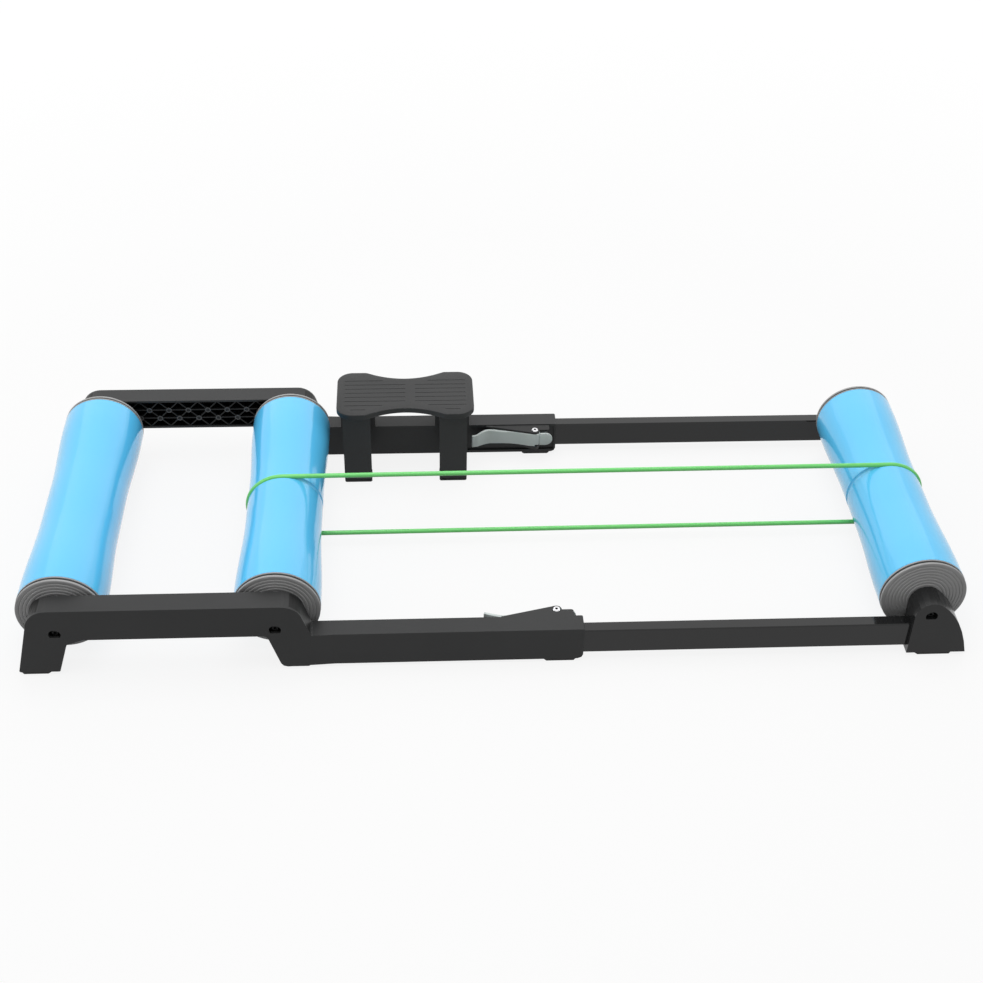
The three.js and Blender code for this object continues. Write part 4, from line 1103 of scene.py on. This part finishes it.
# Camera at the photograph's place, in metres and radians
CAMERA_PLACE = (-0.10922, -1.70074, 1.45964)
CAMERA_YAW = 0.06505
CAMERA_PITCH = -0.67569
CAMERA_ROLL = 0.02402
FOCAL_PIXELS = 1547.03
IMAGE_PIXELS = 983
SENSOR = 36
CLIP_END = 100

camera_data = bpy.data.cameras.new("camera")
camera_data.sensor_width = SENSOR
camera_data.lens = FOCAL_PIXELS / IMAGE_PIXELS * SENSOR
camera_data.clip_end = CLIP_END
camera = bpy.data.objects.new("camera", camera_data)
bpy.context.scene.collection.objects.link(camera)
forward = Vector((
    math.sin(CAMERA_YAW) * math.cos(CAMERA_PITCH),
    math.cos(CAMERA_YAW) * math.cos(CAMERA_PITCH),
    math.sin(CAMERA_PITCH),
))
level = Vector((math.cos(CAMERA_YAW), -math.sin(CAMERA_YAW), 0))
upright = level.cross(forward)
right = level * math.cos(CAMERA_ROLL) + upright * math.sin(CAMERA_ROLL)
up = upright * math.cos(CAMERA_ROLL) - level * math.sin(CAMERA_ROLL)
turn = Matrix((right, up, -forward)).transposed().to_4x4()
camera.matrix_world = Matrix.Translation(CAMERA_PLACE) @ turn
bpy.context.scene.camera = camera

# Floor, lamps and world
FLOOR_HALF = 15
FLOOR_DROP = 0.2 * MM
FLOOR_ROUGHNESS = 0.9
FLOOR_BOUNCE = 0.28
FLOOR_SEEN = 0.11
GLOW_REACH = (0.9, 3.5)
GLOW_LEVELS = (0.87, 0.96)
WORLD_LIGHT = 0.44
WORLD_SEEN = 1.0
WHITE = (0.99, 0.99, 0.99, 1)


def background_rays(nodes, links):
    """One for each ray that shows the background: seen directly, in gloss or through glass."""
    light_path = nodes.new("ShaderNodeLightPath")
    seen = light_path.outputs["Is Camera Ray"]
    for kind in ("Is Glossy Ray", "Is Transmission Ray"):
        seen = calculate(nodes, links, "MAXIMUM", seen, light_path.outputs[kind])
    return seen


def floor():
    """A dull floor that keeps the shadow, with a glow that only the background rays see."""
    bm = bmesh.new()
    corners = [(-FLOOR_HALF, -FLOOR_HALF), (FLOOR_HALF, -FLOOR_HALF),
               (FLOOR_HALF, FLOOR_HALF), (-FLOOR_HALF, FLOOR_HALF)]
    bm.faces.new([bm.verts.new((x, y, -FLOOR_DROP)) for x, y in corners])
    obj = finish_mesh("floor", bm)
    made = bpy.data.materials.new("floor")
    made.use_nodes = True
    nodes, links = made.node_tree.nodes, made.node_tree.links
    shader = nodes["Principled BSDF"]
    shader.inputs["Roughness"].default_value = FLOOR_ROUGHNESS
    shader.inputs["Specular IOR Level"].default_value = 0
    seen = background_rays(nodes, links)
    base = nodes.new("ShaderNodeMapRange")
    base.inputs["To Min"].default_value = FLOOR_BOUNCE
    base.inputs["To Max"].default_value = FLOOR_SEEN
    links.new(seen, base.inputs["Value"])
    links.new(base.outputs["Result"], shader.inputs["Base Color"])
    glow = nodes.new("ShaderNodeEmission")
    glow.inputs["Color"].default_value = WHITE
    distance = nodes.new("ShaderNodeVectorMath")
    distance.operation = "LENGTH"
    links.new(nodes.new("ShaderNodeTexCoord").outputs["Object"], distance.inputs[0])
    level = nodes.new("ShaderNodeMapRange")
    level.inputs["From Min"].default_value = GLOW_REACH[0]
    level.inputs["From Max"].default_value = GLOW_REACH[1]
    level.inputs["To Min"].default_value = GLOW_LEVELS[0]
    level.inputs["To Max"].default_value = GLOW_LEVELS[1]
    links.new(distance.outputs["Value"], level.inputs["Value"])
    scaled = calculate(nodes, links, "MULTIPLY", seen, level.outputs["Result"])
    links.new(scaled, glow.inputs["Strength"])
    added = nodes.new("ShaderNodeAddShader")
    links.new(shader.outputs[0], added.inputs[0])
    links.new(glow.outputs[0], added.inputs[1])
    links.new(added.outputs[0], nodes["Material Output"].inputs["Surface"])
    obj.data.materials.append(made)


floor()


def lamp(name, place, target, size, power):
    """An area lamp; places and sizes in metres, power in watts."""
    data = bpy.data.lights.new(name, "AREA")
    data.shape = "RECTANGLE"
    data.size, data.size_y = size
    data.energy = power
    obj = bpy.data.objects.new(name, data)
    obj.location = place
    obj.rotation_mode = "QUATERNION"
    obj.rotation_quaternion = (Vector(target) - Vector(place)).to_track_quat("-Z", "Y")
    bpy.context.scene.collection.objects.link(obj)


lamp("top_light", place=(-0.2, 0.1, 2.6), target=(0, 0, 0), size=(2.8, 1.8), power=42)
lamp("back_light", place=(0, 3.0, 2.0), target=(0, 0, 0.1), size=(5.2, 2.6), power=25)
lamp("left_light", place=(-4.6, 0.2, 1.6), target=(0, 0, 0.05), size=(2.4, 2.0), power=40)
lamp("right_light", place=(5.0, 0.4, 1.5), target=(0, 0, 0.05), size=(2.4, 2.0), power=20)

world = bpy.data.worlds.new("world")
bpy.context.scene.world = world
world.use_nodes = True
nodes, links = world.node_tree.nodes, world.node_tree.links
background = nodes["Background"]
background.inputs["Color"].default_value = WHITE
strength = nodes.new("ShaderNodeMapRange")
strength.inputs["To Min"].default_value = WORLD_LIGHT
strength.inputs["To Max"].default_value = WORLD_SEEN
links.new(background_rays(nodes, links), strength.inputs["Value"])
links.new(strength.outputs["Result"], background.inputs["Strength"])

bpy.context.scene.view_settings.view_transform = "Standard"
